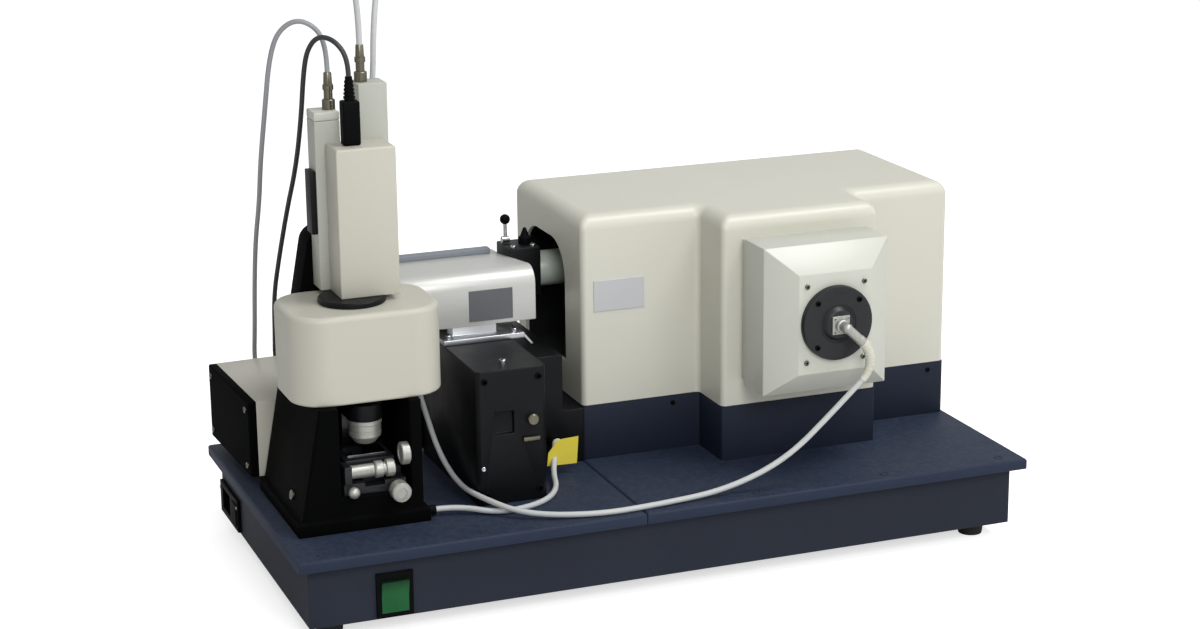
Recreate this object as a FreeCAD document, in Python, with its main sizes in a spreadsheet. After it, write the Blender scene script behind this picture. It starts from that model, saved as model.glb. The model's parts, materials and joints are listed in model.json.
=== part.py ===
# Portable fibre-coupled Raman spectrometer on one instrument base.
# Millimetres. X runs along the base to the right, Y from the front to the back, Z up.
# The origin lies on the standing surface, under the middle of the top plates.
import FreeCAD, Part
import math
import os
import re

import Sketcher
from FreeCAD import Placement, Rotation, Vector

os.makedirs("parts", exist_ok=True)
doc = FreeCAD.newDocument("RamanSpectrometer")

# Driving dimensions, one sheet cell each.
SIZES = {
    # instrument base
    "plate_length": 540, "plate_depth": 264, "plate_thickness": 8, "left_plate_length": 244,
    "plate_gap": 0.4, "plate_edge_chamfer": 1.2, "side_overhang": 8, "front_overhang": 10,
    "back_overhang": 6, "chassis_height": 43, "chassis_wall": 2, "foot_height": 12,
    "foot_diameter": 20, "foot_inset_x": 27, "foot_inset_front": 32, "foot_inset_back": 28,
    # power rocker
    "bezel_width": 25.6, "bezel_height": 31.4, "bezel_lip": 2, "bezel_rim": 3,
    "rocker_from_left": 66.5, "rocker_from_chassis_bottom": 16.6, "rocker_gap": 0.4,
    "rocker_tilt": 7, "rocker_pivot_depth": 6, "rocker_depth": 11, "rocker_pin_diameter": 2.6,
    "rocker_pin_reach": 0.9, "rocker_pin_clearance": 0.1, "bezel_sleeve_wall": 1.2,
    # mains inlet and inside of the base
    "inlet_width": 54, "inlet_height": 24, "inlet_lip": 2.5, "inlet_depth": 17,
    "inlet_from_back": 4, "inlet_rise": 2.5, "inlet_shell_step": 2, "inlet_cutout_gap": 0.5,
    "inlet_mouth_width": 23, "inlet_mouth_height": 16, "inlet_mouth_from_end": 7,
    "inlet_pin_spread": 7, "fuse_drawer_width": 13, "fuse_drawer_proud": 1, "supply_length": 150, "supply_depth": 90, "supply_height": 30,
    "board_length": 150, "board_depth": 110, "board_thickness": 1.6, "standoff_height": 6,
    # spectrograph
    "spectro_length": 293, "spectro_depth": 139, "spectro_back_margin": 3, "skirt_height": 41,
    "skirt_wall": 3, "skirt_deck": 4, "cover_height": 139.5, "cover_wall": 2.5,
    "cover_top_radius": 10, "cover_corner_radius": 4, "step_offset": 91, "step_length": 123,
    "step_depth": 41, "arch_front": 34, "arch_width": 86, "arch_bottom": 24.5,
    "arch_height": 88, "arch_radius": 28, "liner_depth": 34, "liner_wall": 1.5,
    # fibre port on the spectrograph
    "port_inset": 13.6, "port_width": 96, "port_rise": 17.5, "port_height": 107,
    "port_spacer_depth": 8, "port_spacer_inset": 2, "port_box_depth": 32, "port_nose_depth": 16,
    "port_side_slope": 20, "port_top_slope": 17.5, "port_wall": 3, "port_hole": 40,
    "flange_diameter": 53.5, "flange_thickness": 5, "flange_hub": 20, "flange_hub_height": 3,
    "connector_diameter": 9.4, "ferrule_diameter": 6.4, "connector_length": 8,
    # optics inside the spectrograph
    "mirror_diameter": 44, "mirror_thickness": 8, "mount_width": 36, "mount_depth": 14,
    "turret_diameter": 52, "turret_thickness": 8, "spindle_diameter": 34, "grating_width": 30,
    "grating_height": 32, "running_gap": 0.3, "detector_size": 46, "detector_depth": 40,
    # microscope stand
    "stand_edge_radius": 3, "stand_left_margin": 12, "stand_front_margin": 44, "stand_width": 92, "stand_depth": 108,
    "flange_rise": 9, "stand_body_width": 88, "stand_body_setback": 3, "stand_body_depth": 82,
    "stand_height": 86, "bay_left": 31, "bay_width": 49, "bay_floor": 23, "bay_depth": 65,
    "column_depth": 23, "column_foot_width": 106, "column_top_width": 49,
    "column_top_shift": 35, "column_height": 188, "column_top_radius": 12,
    "head_width": 105, "head_depth": 76, "head_height": 61, "head_left_inset": 5,
    "head_overhang": 5, "head_corner_radius": 24, "head_edge_radius": 4,
    # sample stage and focus
    "stage_width": 43, "stage_depth": 46, "stage_base_height": 8, "carriage_height": 6,
    "y_carriage_depth": 38, "x_carriage_width": 34, "slide_gap": 0.3, "stage_setback": 4,
    "sleeve_diameter": 10, "sleeve_length": 16, "thimble_diameter": 11.5,
    "thimble_length": 14, "y_thimble_diameter": 13, "y_thimble_length": 10,
    "lock_ball_diameter": 8, "focus_knob_diameter": 15, "focus_knob_length": 6,
    "focus_rail_width": 14, "focus_rail_depth": 6, "nosepiece_width": 24,
    "nosepiece_height": 11, "nosepiece_reach": 36, "objective_diameter": 22,
    "objective_length": 17, "focus_headroom": 5,
    # tower on the head
    "collar_diameter": 46, "collar_height": 4, "collar_x": 49.5, "collar_y": 37,
    "tower_width": 41, "tower_depth": 28, "tower_height": 101.5, "tower_left": 40,
    "tower_front": 28, "module_depth": 19.5, "left_module_width": 17.6, "left_module_height": 116,
    "left_module_offset": 6.6, "right_module_width": 20, "right_module_height": 139,
    "module_cap_height": 6, "tower_edge_radius": 2, "nut_diameter": 8.4, "nut_height": 7,
    "plug_collar_diameter": 10, "plug_collar_length": 8, "plug_collar_x": 27,
    "plug_collar_rise": 19, "laser_boot_diameter": 7.2, "laser_boot_length": 13,
    "socket_diameter": 7, "socket_length": 5, "socket_rise": 5, "socket_from_front": 7.5,
    "nut_stem": 18, "plug_width": 12, "plug_depth": 10, "plug_height": 30,
    "plug_boot_height": 16, "plug_boot_diameter": 8, "plug_inset": 14.3,
    # laser side
    "laser_left": 142, "laser_width": 51, "laser_depth": 130, "laser_front": 57,
    "laser_height": 96, "laser_chamfer": 3, "key_diameter": 8, "key_length": 4,
    "key_bar_length": 12, "bridge_front": 120, "bridge_depth": 112, "bridge_low_height": 40,
    "bridge_high_height": 82, "bridge_step": 35, "mount_plate_thickness": 4,
    "mount_plate_front": 69, "mount_plate_depth": 66, "riser_height": 7, "riser_inset": 9,
    "lever_hub_diameter": 5, "lever_hub_length": 6, "adjuster_diameter": 9,
    "adjuster_foot_height": 5, "adjuster_x": 17, "laser_head_length": 104,
    "laser_head_depth": 95, "laser_head_height": 30,
    "laser_head_front": 6, "laser_head_overhang": 20, "laser_head_radius": 3,
    "laser_head_swell": 8, "laser_head_brow": 12, "laser_head_shelf": 17,
    "shutter_length": 24, "shutter_depth": 30, "shutter_height": 36, "shutter_from_back": 10,
    "beam_tube_diameter": 26, "beam_tube_bore": 18, "lever_rod_diameter": 2.6,
    "lever_length": 15, "lever_ball_diameter": 7.6, "adjuster_height": 12,
    # control box behind the stand
    "box_x": 13, "box_y": 156, "box_width": 107, "box_depth": 104, "box_height": 55,
    "box_feet": 8, "box_wall": 1.5, "box_turn": 2.5, "box_cap": 6, "box_foot_diameter": 9,
    # cords
    "fibre_diameter": 4, "cable_diameter": 3.4, "grommet_diameter": 8, "grommet_height": 4, "relief_length": 9,
}

# Places and lengths that follow from the driving dimensions.
DERIVED = {
    "plate_bottom": "foot_height + chassis_height",
    "plate_top": "plate_bottom + plate_thickness",
    "left_edge": "0 - plate_length / 2",
    "front_edge": "0 - plate_depth / 2",
    "back_edge": "plate_depth / 2",
    "seam_x": "left_edge + left_plate_length",
    "chassis_left": "left_edge + side_overhang",
    "chassis_right": "plate_length / 2 - side_overhang",
    "chassis_front": "front_edge + front_overhang",
    "chassis_back": "back_edge - back_overhang",
    "floor_in": "foot_height + chassis_wall",
    "rocker_x": "left_edge + rocker_from_left",
    "rocker_z": "foot_height + rocker_from_chassis_bottom",
    "rocker_opening_width": "bezel_width - 2 * bezel_rim",
    "rocker_opening_height": "bezel_height - 2 * bezel_rim",
    "rocker_pivot_y": "chassis_front + rocker_pivot_depth",
    "inlet_back": "chassis_back - inlet_from_back",
    "inlet_front": "inlet_back - inlet_width",
    "inlet_bottom": "foot_height + inlet_rise",
    "inlet_middle_z": "inlet_bottom + inlet_height / 2",
    "inlet_mouth_y": "inlet_back - inlet_mouth_from_end - inlet_mouth_width / 2",
    "spectro_left": "seam_x",
    "spectro_right": "spectro_left + spectro_length",
    "spectro_back": "back_edge - spectro_back_margin",
    "spectro_front": "spectro_back - spectro_depth",
    "skirt_top": "plate_top + skirt_height",
    "cover_top": "skirt_top + cover_height",
    "step_left": "spectro_left + step_offset",
    "step_right": "step_left + step_length",
    "step_front": "spectro_front - step_depth",
    "arch_y": "spectro_front + arch_front",
    "arch_z": "skirt_top + arch_bottom",
    "port_left": "step_left + port_inset",
    "port_right": "port_left + port_width",
    "port_bottom": "skirt_top + port_rise",
    "port_top": "port_bottom + port_height",
    "port_x": "port_left + port_width / 2",
    "port_z": "port_bottom + port_height / 2",
    "port_back_y": "step_front - port_spacer_depth",
    "port_shoulder_y": "port_back_y - port_box_depth",
    "port_face_y": "port_shoulder_y - port_nose_depth",
    "flange_face_y": "port_face_y - flange_thickness",
    "hub_face_y": "flange_face_y - flange_hub_height",
    "stand_left": "left_edge + stand_left_margin",
    "stand_front": "front_edge + stand_front_margin",
    "stand_back": "stand_front + stand_depth",
    "stand_slope": "column_top_shift / (column_top - plate_top)",
    "block_left_low": "stand_left + 2 + stand_slope * flange_rise",
    "block_left_high": "stand_left + 2 + stand_slope * stand_height",
    "body_front": "stand_front + stand_body_setback",
    "body_back": "body_front + stand_body_depth",
    "body_right": "stand_left + stand_body_width",
    "stand_top": "plate_top + stand_height",
    "bay_x": "stand_left + bay_left",
    "bay_right": "bay_x + bay_width",
    "bay_z": "plate_top + bay_floor",
    "bay_back": "body_front + bay_depth",
    "bay_middle": "bay_x + bay_width / 2",
    "column_front": "stand_back - column_depth",
    "column_top": "plate_top + column_height",
    "head_left": "stand_left + head_left_inset",
    "head_front": "body_front + head_overhang",
    "head_back": "head_front + head_depth",
    "head_top": "stand_top + head_height",
    "stage_left": "bay_middle - stage_width / 2",
    "stage_front": "body_front + stage_setback",
    "stage_top": "bay_z + stage_base_height",
    "y_carriage_bottom": "stage_top + slide_gap",
    "y_carriage_top": "y_carriage_bottom + carriage_height",
    "y_carriage_front": "stage_front + 8",
    "x_carriage_bottom": "y_carriage_top + slide_gap",
    "x_carriage_top": "x_carriage_bottom + carriage_height",
    "sleeve_y": "y_carriage_front - sleeve_diameter / 2 - 1",
    "sleeve_z": "y_carriage_top + 1.5",
    "sleeve_x": "stage_left + 5",
    "thimble_x": "sleeve_x + sleeve_length + running_gap",
    "y_thimble_x": "bay_middle + 9",
    "y_thimble_z": "bay_z + 3.5",
    "focus_knob_y": "body_front + 5",
    "focus_knob_z": "bay_z + 25",
    "rail_front": "bay_back - focus_rail_depth",
    "nosepiece_top": "stand_top - focus_headroom",
    "nosepiece_bottom": "nosepiece_top - nosepiece_height",
    "objective_y": "rail_front - nosepiece_reach + 2",
    "collar_centre_x": "head_left + collar_x",
    "collar_centre_y": "head_front + collar_y",
    "tower_bottom": "head_top + collar_height",
    "tower_x": "head_left + tower_left",
    "tower_right": "tower_x + tower_width",
    "tower_y": "head_front + tower_front",
    "tower_back": "tower_y + tower_depth",
    "tower_top": "tower_bottom + tower_height",
    "left_module_x": "tower_x - left_module_offset",
    "right_module_x": "tower_x + 24.5",
    "left_module_top": "tower_bottom + left_module_height",
    "right_module_top": "tower_bottom + right_module_height",
    "module_middle_y": "tower_back + module_depth / 2",
    "left_nut_x": "left_module_x + 13",
    "right_nut_x": "right_module_x + 4.6",
    "plug_x": "tower_x + plug_inset",
    "plug_y": "tower_y + tower_depth / 2",
    "laser_x": "left_edge + laser_left",
    "laser_right": "laser_x + laser_width",
    "laser_y": "front_edge + laser_front",
    "laser_top": "plate_top + laser_height",
    "bridge_y": "front_edge + bridge_front",
    "mount_plate_y": "laser_y + mount_plate_front",
    "mount_plate_top": "laser_top + mount_plate_thickness",
    "riser_top": "mount_plate_top + riser_height",
    "laser_head_right": "laser_right + laser_head_overhang",
    "laser_head_left": "laser_head_right - laser_head_length",
    "laser_head_y": "mount_plate_y + laser_head_front",
    "laser_head_back": "laser_head_y + laser_head_depth",
    "laser_head_top": "riser_top + laser_head_height",
    "shutter_right": "laser_head_right + shutter_length",
    "shutter_y": "laser_head_back - shutter_from_back - shutter_depth",
    "shutter_z": "riser_top + 2",
    "shutter_top": "shutter_z + shutter_height",
    "beam_y": "shutter_y + shutter_depth / 2",
    "beam_z": "shutter_z + shutter_height / 2 - 2",
    "box_corner_x": "left_edge + box_x",
    "box_corner_y": "front_edge + box_y",
    "grating_axis_x": "spectro_left + 121",
    "grating_axis_y": "spectro_front + 50",
    "turret_bottom": "port_z - grating_height / 2 - turret_thickness",
}

sheet = doc.addObject("Spreadsheet::Sheet", "Sizes")
for row, (alias, value) in enumerate(SIZES.items(), 1):
    sheet.set("A%d" % row, alias)
    sheet.set("B%d" % row, str(value))
    sheet.setAlias("B%d" % row, alias)
doc.recompute()

KEPT = {}


def formula(text):
    """Write a size or a sum of sizes as an expression on the sheet's cells."""
    def swap(found):
        word = found.group(0)
        if word in DERIVED:
            return "(" + formula(DERIVED[word]) + ")"
        return "Sizes." + word if word in SIZES else word
    return re.sub(r"[a-z_][a-z_0-9]*", swap, str(text))


def number(text):
    return float(sheet.evalExpression(formula(text)))


def bind(item, formulas):
    for prop, text in formulas.items():
        item.setExpression(prop, formula(text))


def place(item, corner, rotation=None):
    if rotation is not None:
        item.Placement = Placement(Vector(), rotation)
    for axis, text in zip("xyz", corner):
        item.setExpression("Placement.Base." + axis, formula(text))


TURN = {
    "Z": Rotation(),
    "X": Rotation(Vector(0, 0, 1), Vector(1, 0, 0)),
    "Y": Rotation(Vector(0, 0, 1), Vector(0, 1, 0)),
    "-Y": Rotation(Vector(0, 0, 1), Vector(0, -1, 0)),
}


def block(name, size, corner):
    item = doc.addObject("Part::Box", name)
    bind(item, dict(zip(("Length", "Width", "Height"), size)))
    place(item, corner)
    return item


def rod(name, diameter, length, start, axis="Z"):
    item = doc.addObject("Part::Cylinder", name)
    bind(item, {"Radius": "(%s) / 2" % diameter, "Height": length})
    place(item, start, TURN[axis])
    return item


def taper(name, diameter, end_diameter, length, start, axis="Z"):
    item = doc.addObject("Part::Cone", name)
    bind(item, {"Radius1": "(%s) / 2" % diameter, "Radius2": "(%s) / 2" % end_diameter,
                "Height": length})
    place(item, start, TURN[axis])
    return item


def ball(name, diameter, centre):
    item = doc.addObject("Part::Sphere", name)
    bind(item, {"Radius": "(%s) / 2" % diameter})
    place(item, centre)
    return item


def join(name, pieces):
    item = doc.addObject("Part::MultiFuse", name)
    item.Shapes = pieces
    item.Refine = True
    return item


def cut(name, base, tools):
    item = doc.addObject("Part::Cut", name)
    item.Base = base
    item.Tool = tools[0] if len(tools) == 1 else join(name + "_tools", tools)
    return item


def together(name, pieces):
    item = doc.addObject("Part::Compound", name)
    item.Links = pieces
    return item


def keep(item, node):
    item.Label = node
    KEPT[node] = item
    return item


def round_edges(name, base, test, radius):
    """Round the edges of a plain solid whose middle and direction pass the test."""
    doc.recompute()
    item = doc.addObject("Part::Fillet", name)
    item.Base = base
    size = number(radius)
    item.Edges = [(index, size, size) for index, edge in enumerate(base.Shape.Edges, 1)
                  if test(edge)]
    return item


def new_body(node):
    body = doc.addObject("PartDesign::Body", node + "_body")
    return keep(body, node)


def sketch(body, name, role, offset="0"):
    item = body.newObject("Sketcher::SketchObject", name)
    plane = [p for p in body.Origin.OriginFeatures if p.Role == role][0]
    item.AttachmentSupport = [(plane, "")]
    item.MapMode = "FlatFace"
    item.setExpression("AttachmentOffset.Base.z", formula(offset))
    return item


def outline(item, points):
    """A closed outline of straight lines, each corner held by two bound distances."""
    places = [(number(x), number(y)) for x, y in points]
    count = len(points)
    for index in range(count):
        start = places[index]
        end = places[(index + 1) % count]
        item.addGeometry(Part.LineSegment(Vector(*start, 0), Vector(*end, 0)), False)
    for index in range(count):
        item.addConstraint(Sketcher.Constraint("Coincident", index, 2, (index + 1) % count, 1))
    for index, corner in enumerate(points):
        for kind, text, value in zip(("DistanceX", "DistanceY"), corner, places[index]):
            datum = item.addConstraint(Sketcher.Constraint(kind, index, 1, value))
            item.setExpression("Constraints[%d]" % datum, formula(text))


def rectangle(item, x0, y0, x1, y1):
    outline(item, [(x0, y0), (x1, y0), (x1, y1), (x0, y1)])


def circle(item, x, y, diameter):
    centre = Vector(number(x), number(y), 0)
    edge = item.addGeometry(Part.Circle(centre, Vector(0, 0, 1), number(diameter) / 2), False)
    for kind, text, value in (("DistanceX", x, centre.x), ("DistanceY", y, centre.y)):
        datum = item.addConstraint(Sketcher.Constraint(kind, edge, 3, value))
        item.setExpression("Constraints[%d]" % datum, formula(text))
    datum = item.addConstraint(Sketcher.Constraint("Radius", edge, number(diameter) / 2))
    item.setExpression("Constraints[%d]" % datum, formula("(%s) / 2" % diameter))


def pad(body, profile, length):
    item = body.newObject("PartDesign::Pad", profile.Name + "_pad")
    item.Profile = profile
    item.setExpression("Length", formula(length))
    doc.recompute()
    return item


def pocket(body, profile, length, forward=False):
    """Cut a profile against its sketch's normal, or along it if forward."""
    before = body.Shape.Volume
    item = body.newObject("PartDesign::Pocket", profile.Name + "_pocket")
    item.Profile = profile
    item.Reversed = forward
    item.setExpression("Length", formula(length))
    doc.recompute()
    if not item.Shape.Volume < before - 0.01:
        raise ValueError(item.Name + " cuts nothing")
    return item


def fillet(body, name, test, radius):
    base = body.Tip
    edges = ["Edge%d" % index for index, edge in enumerate(base.Shape.Edges, 1) if test(edge)]
    item = body.newObject("PartDesign::Fillet", name)
    item.Base = (base, edges)
    item.setExpression("Radius", formula(radius))
    doc.recompute()
    return item


def chamfer(body, name, test, size):
    base = body.Tip
    edges = ["Edge%d" % index for index, edge in enumerate(base.Shape.Edges, 1) if test(edge)]
    item = body.newObject("PartDesign::Chamfer", name)
    item.Base = (base, edges)
    item.setExpression("Size", formula(size))
    doc.recompute()
    return item


def middle(edge):
    return edge.BoundBox.Center


def runs_along(edge, axis):
    """True for an edge whose box has no extent but along the axis."""
    box = edge.BoundBox
    spans = {"X": box.XLength, "Y": box.YLength, "Z": box.ZLength}
    return spans.pop(axis) > 0.01 and max(spans.values()) < 0.001


def near(value, text):
    return abs(value - number(text)) < 0.01


def level(edge, text):
    """True for an edge that lies flat at one height."""
    return edge.BoundBox.ZLength < 0.001 and near(edge.BoundBox.ZMin, text)


# Instrument base: two top plates on a sheet metal chassis with rubber feet.
def top_plate(node, left, right):
    body = new_body(node)
    profile = sketch(body, node + "_outline", "XY_Plane", "plate_bottom")
    rectangle(profile, left, "front_edge", right, "back_edge")
    pad(body, profile, "plate_thickness")
    chamfer(body, node + "_edges", lambda e: level(e, "plate_top"), "plate_edge_chamfer")


def base_chassis():
    body = new_body("base_chassis")
    walls = sketch(body, "chassis_outline", "XY_Plane", "foot_height")
    rectangle(walls, "chassis_left", "chassis_front", "chassis_right", "chassis_back")
    pad(body, walls, "chassis_height")
    inside = sketch(body, "chassis_inside", "XY_Plane", "plate_bottom")
    rectangle(inside, "chassis_left + chassis_wall", "chassis_front + chassis_wall",
              "chassis_right - chassis_wall", "chassis_back - chassis_wall")
    pocket(body, inside, "chassis_height")
    window = sketch(body, "rocker_window", "XZ_Plane", "0 - chassis_front + 1")
    rectangle(window, "rocker_x - rocker_opening_width / 2 - 1.4",
              "rocker_z - rocker_opening_height / 2 - 1.4",
              "rocker_x + rocker_opening_width / 2 + 1.4",
              "rocker_z + rocker_opening_height / 2 + 1.4")
    pocket(body, window, "chassis_wall + 2")
    window = sketch(body, "inlet_window", "YZ_Plane", "chassis_left + chassis_wall + 1")
    rim = "(inlet_shell_step - inlet_cutout_gap)"
    rectangle(window, "inlet_front + " + rim, "inlet_bottom + " + rim, "inlet_back - " + rim,
              "inlet_bottom + inlet_height - " + rim)
    pocket(body, window, "chassis_wall + 2")


def bottom_cover():
    gap = "chassis_wall + plate_gap"
    cover = block("bottom_sheet",
                  ("chassis_right - chassis_left - 2 * (%s)" % gap,
                   "chassis_back - chassis_front - 2 * (%s)" % gap, "chassis_wall"),
                  ("chassis_left + " + gap, "chassis_front + " + gap, "foot_height"))
    keep(cover, "bottom_cover")


def rubber_feet():
    feet = []
    for side in (-1, 1):
        for row_y in ("front_edge + foot_inset_front", "back_edge - foot_inset_back"):
            corner = ("%d * (plate_length / 2 - foot_inset_x)" % side, row_y, "0")
            feet.append(taper("foot", "foot_diameter - 3", "foot_diameter", "foot_height", corner))
    keep(together("feet", feet), "rubber_feet")


def power_rocker():
    outer = block("bezel_flange", ("bezel_width", "bezel_lip", "bezel_height"),
                  ("rocker_x - bezel_width / 2", "chassis_front - bezel_lip",
                   "rocker_z - bezel_height / 2"))
    sleeve = block("bezel_sleeve",
                   ("rocker_opening_width + 2 * bezel_sleeve_wall", "rocker_depth + 3",
                    "rocker_opening_height + 2 * bezel_sleeve_wall"),
                   ("rocker_x - rocker_opening_width / 2 - bezel_sleeve_wall", "chassis_front",
                    "rocker_z - rocker_opening_height / 2 - bezel_sleeve_wall"))
    opening = block("bezel_opening",
                    ("rocker_opening_width", "bezel_lip + rocker_depth + 1", "rocker_opening_height"),
                    ("rocker_x - rocker_opening_width / 2", "chassis_front - bezel_lip - 1",
                     "rocker_z - rocker_opening_height / 2"))
    pin_span = "rocker_opening_width + 2 * (rocker_pin_reach + rocker_pin_clearance)"
    bearing = rod("bezel_bearing", "rocker_pin_diameter + rocker_pin_clearance", pin_span,
                  ("rocker_x - (%s) / 2" % pin_span, "rocker_pivot_y", "rocker_z"), "X")
    frame = cut("bezel_frame", join("bezel_block", [outer, sleeve]), [opening, bearing])
    keep(frame, "rocker_bezel")
    body = new_body("power_rocker")
    profile = sketch(body, "rocker_section", "YZ_Plane",
                     "rocker_gap - rocker_opening_width / 2")
    half = "(rocker_opening_height / 2 - 1.4)"
    proud = "(rocker_pivot_depth + bezel_lip + 1.5)"
    outline(profile, [("0 - " + proud, half), ("1.3 - " + proud, "0"),
                      ("0 - " + proud, "0 - " + half), ("-2", "0.2 - " + half), ("3", "-6"),
                      ("3", "6"), ("-2", half + " - 0.2")])
    pad(body, profile, "rocker_opening_width - 2 * rocker_gap")
    pins = sketch(body, "rocker_pins", "YZ_Plane",
                  "0 - rocker_opening_width / 2 - rocker_pin_reach")
    circle(pins, "0", "0", "rocker_pin_diameter")
    pad(body, pins, "rocker_opening_width + 2 * rocker_pin_reach")
    body.Placement = Placement(Vector(), Rotation(Vector(1, 0, 0), number("rocker_tilt")))
    bind(body, {"Placement.Rotation.Angle": "rocker_tilt"})
    place(body, ("rocker_x", "rocker_pivot_y", "rocker_z"))


def mains_inlet():
    """Power entry on the left wall: a flanged shell with the socket and a fuse drawer."""
    flange = block("inlet_flange", ("inlet_lip", "inlet_width", "inlet_height"),
                   ("chassis_left - inlet_lip", "inlet_front", "inlet_bottom"))
    shell = block("inlet_shell", ("inlet_depth + 2", "inlet_width - 2 * inlet_shell_step",
                                  "inlet_height - 2 * inlet_shell_step"),
                  ("chassis_left", "inlet_front + inlet_shell_step",
                   "inlet_bottom + inlet_shell_step"))
    mouth = block("inlet_mouth", ("inlet_lip + inlet_depth + 1", "inlet_mouth_width",
                                  "inlet_mouth_height"),
                  ("chassis_left - inlet_lip - 1", "inlet_mouth_y - inlet_mouth_width / 2",
                   "inlet_middle_z - inlet_mouth_height / 2"))
    drawer = block("fuse_drawer", ("inlet_lip", "fuse_drawer_width", "inlet_mouth_height"),
                   ("chassis_left - inlet_lip - fuse_drawer_proud",
                    "inlet_front + inlet_mouth_from_end / 2",
                    "inlet_middle_z - inlet_mouth_height / 2"))
    socket = cut("inlet_socket", join("inlet_solid", [flange, shell, drawer]), [mouth])
    pins = [block("inlet_pin", ("inlet_depth - 3", "2", "4"),
                  ("chassis_left + 4", "inlet_mouth_y - 1 + %d * inlet_pin_spread" % side,
                   "inlet_middle_z - 2 + %d" % rise))
            for side, rise in ((-1, -3), (0, 1), (1, -3))]
    keep(join("inlet_with_pins", [socket] + pins), "mains_inlet")


def base_electronics():
    supply = block("supply_can", ("supply_length", "supply_depth", "supply_height"),
                   ("chassis_left + 30", "0 - supply_depth / 2", "floor_in"))
    board = block("board_sheet", ("board_length", "board_depth", "board_thickness"),
                  ("20", "0 - board_depth / 2", "floor_in + standoff_height"))
    posts = [rod("standoff", "6", "standoff_height",
                 ("20 + board_length / 2 + %d * (board_length / 2 - 8)" % sx,
                  "%d * (board_depth / 2 - 8)" % sy, "floor_in"))
             for sx in (-1, 1) for sy in (-1, 1)]
    chips = [block("chip", ("18", "18", "3"),
                   ("45 + %d" % (42 * step), "-9", "floor_in + standoff_height + board_thickness"))
             for step in range(3)]
    circuit = join("board_assembly", [board] + posts + chips)
    keep(together("electronics_set", [supply, circuit]), "base_electronics")


# Spectrograph: skirt, cover, entrance liner and the optics inside.
def stepped_outline(item, inset):
    """The spectrograph's plan, with the step that carries the fibre port, drawn inwards by inset."""
    def inward(text, sign):
        return "%s %s %s" % (text, sign, inset)
    outline(item, [
        (inward("spectro_left", "+"), inward("spectro_front", "+")),
        (inward("step_left", "+"), inward("spectro_front", "+")),
        (inward("step_left", "+"), inward("step_front", "+")),
        (inward("step_right", "-"), inward("step_front", "+")),
        (inward("step_right", "-"), inward("spectro_front", "+")),
        (inward("spectro_right", "-"), inward("spectro_front", "+")),
        (inward("spectro_right", "-"), inward("spectro_back", "-")),
        (inward("spectro_left", "+"), inward("spectro_back", "-"))])


def spectrograph_skirt():
    body = new_body("spectrograph_skirt")
    walls = sketch(body, "skirt_outline", "XY_Plane", "plate_top")
    stepped_outline(walls, "0")
    pad(body, walls, "skirt_height")
    fillet(body, "skirt_corners", lambda e: runs_along(e, "Z"), "cover_corner_radius / 2")
    inside = sketch(body, "skirt_inside", "XY_Plane", "plate_top")
    stepped_outline(inside, "skirt_wall")
    pocket(body, inside, "skirt_height - skirt_deck", forward=True)


def spectrograph_cover():
    body = new_body("spectrograph_cover")
    walls = sketch(body, "cover_outline", "XY_Plane", "skirt_top")
    stepped_outline(walls, "0")
    pad(body, walls, "cover_height")
    fillet(body, "cover_corners", lambda e: runs_along(e, "Z"), "cover_corner_radius")
    fillet(body, "cover_top_edges", lambda e: level(e, "cover_top"), "cover_top_radius")
    inside = sketch(body, "cover_inside", "XY_Plane", "skirt_top")
    stepped_outline(inside, "cover_wall")
    pocket(body, inside, "cover_height - cover_top_radius", forward=True)
    crown = sketch(body, "cover_crown", "XY_Plane", "skirt_top")
    stepped_outline(crown, "cover_top_radius / 2")
    pocket(body, crown, "cover_height - cover_top_radius / 2", forward=True)
    arch = sketch(body, "arch_window", "YZ_Plane", "spectro_left - 1")
    rectangle(arch, "arch_y", "arch_z", "arch_y + arch_width", "arch_z + arch_height")
    pocket(body, arch, "cover_wall + 2", forward=True)
    fillet(body, "arch_shoulders",
           lambda e: runs_along(e, "X") and near(middle(e).z, "arch_z + arch_height"),
           "arch_radius")
    window = sketch(body, "port_window", "XZ_Plane", "1 - step_front")
    circle(window, "port_x", "port_z", "port_hole")
    pocket(body, window, "cover_wall + 2")


def entrance_liner():
    left = "spectro_left + cover_wall"
    outer = block("liner_outer", ("liner_depth", "arch_width + 8", "arch_height + 8"),
                  (left, "arch_y - 4", "arch_z - 4"))
    hollow = block("liner_hollow", ("liner_depth", "arch_width + 8 - 2 * liner_wall",
                                    "arch_height + 8 - 2 * liner_wall"),
                   (left + " - liner_wall", "arch_y - 4 + liner_wall",
                    "arch_z - 4 + liner_wall"))
    keep(cut("liner_pan", outer, [hollow]), "entrance_liner")


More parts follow.
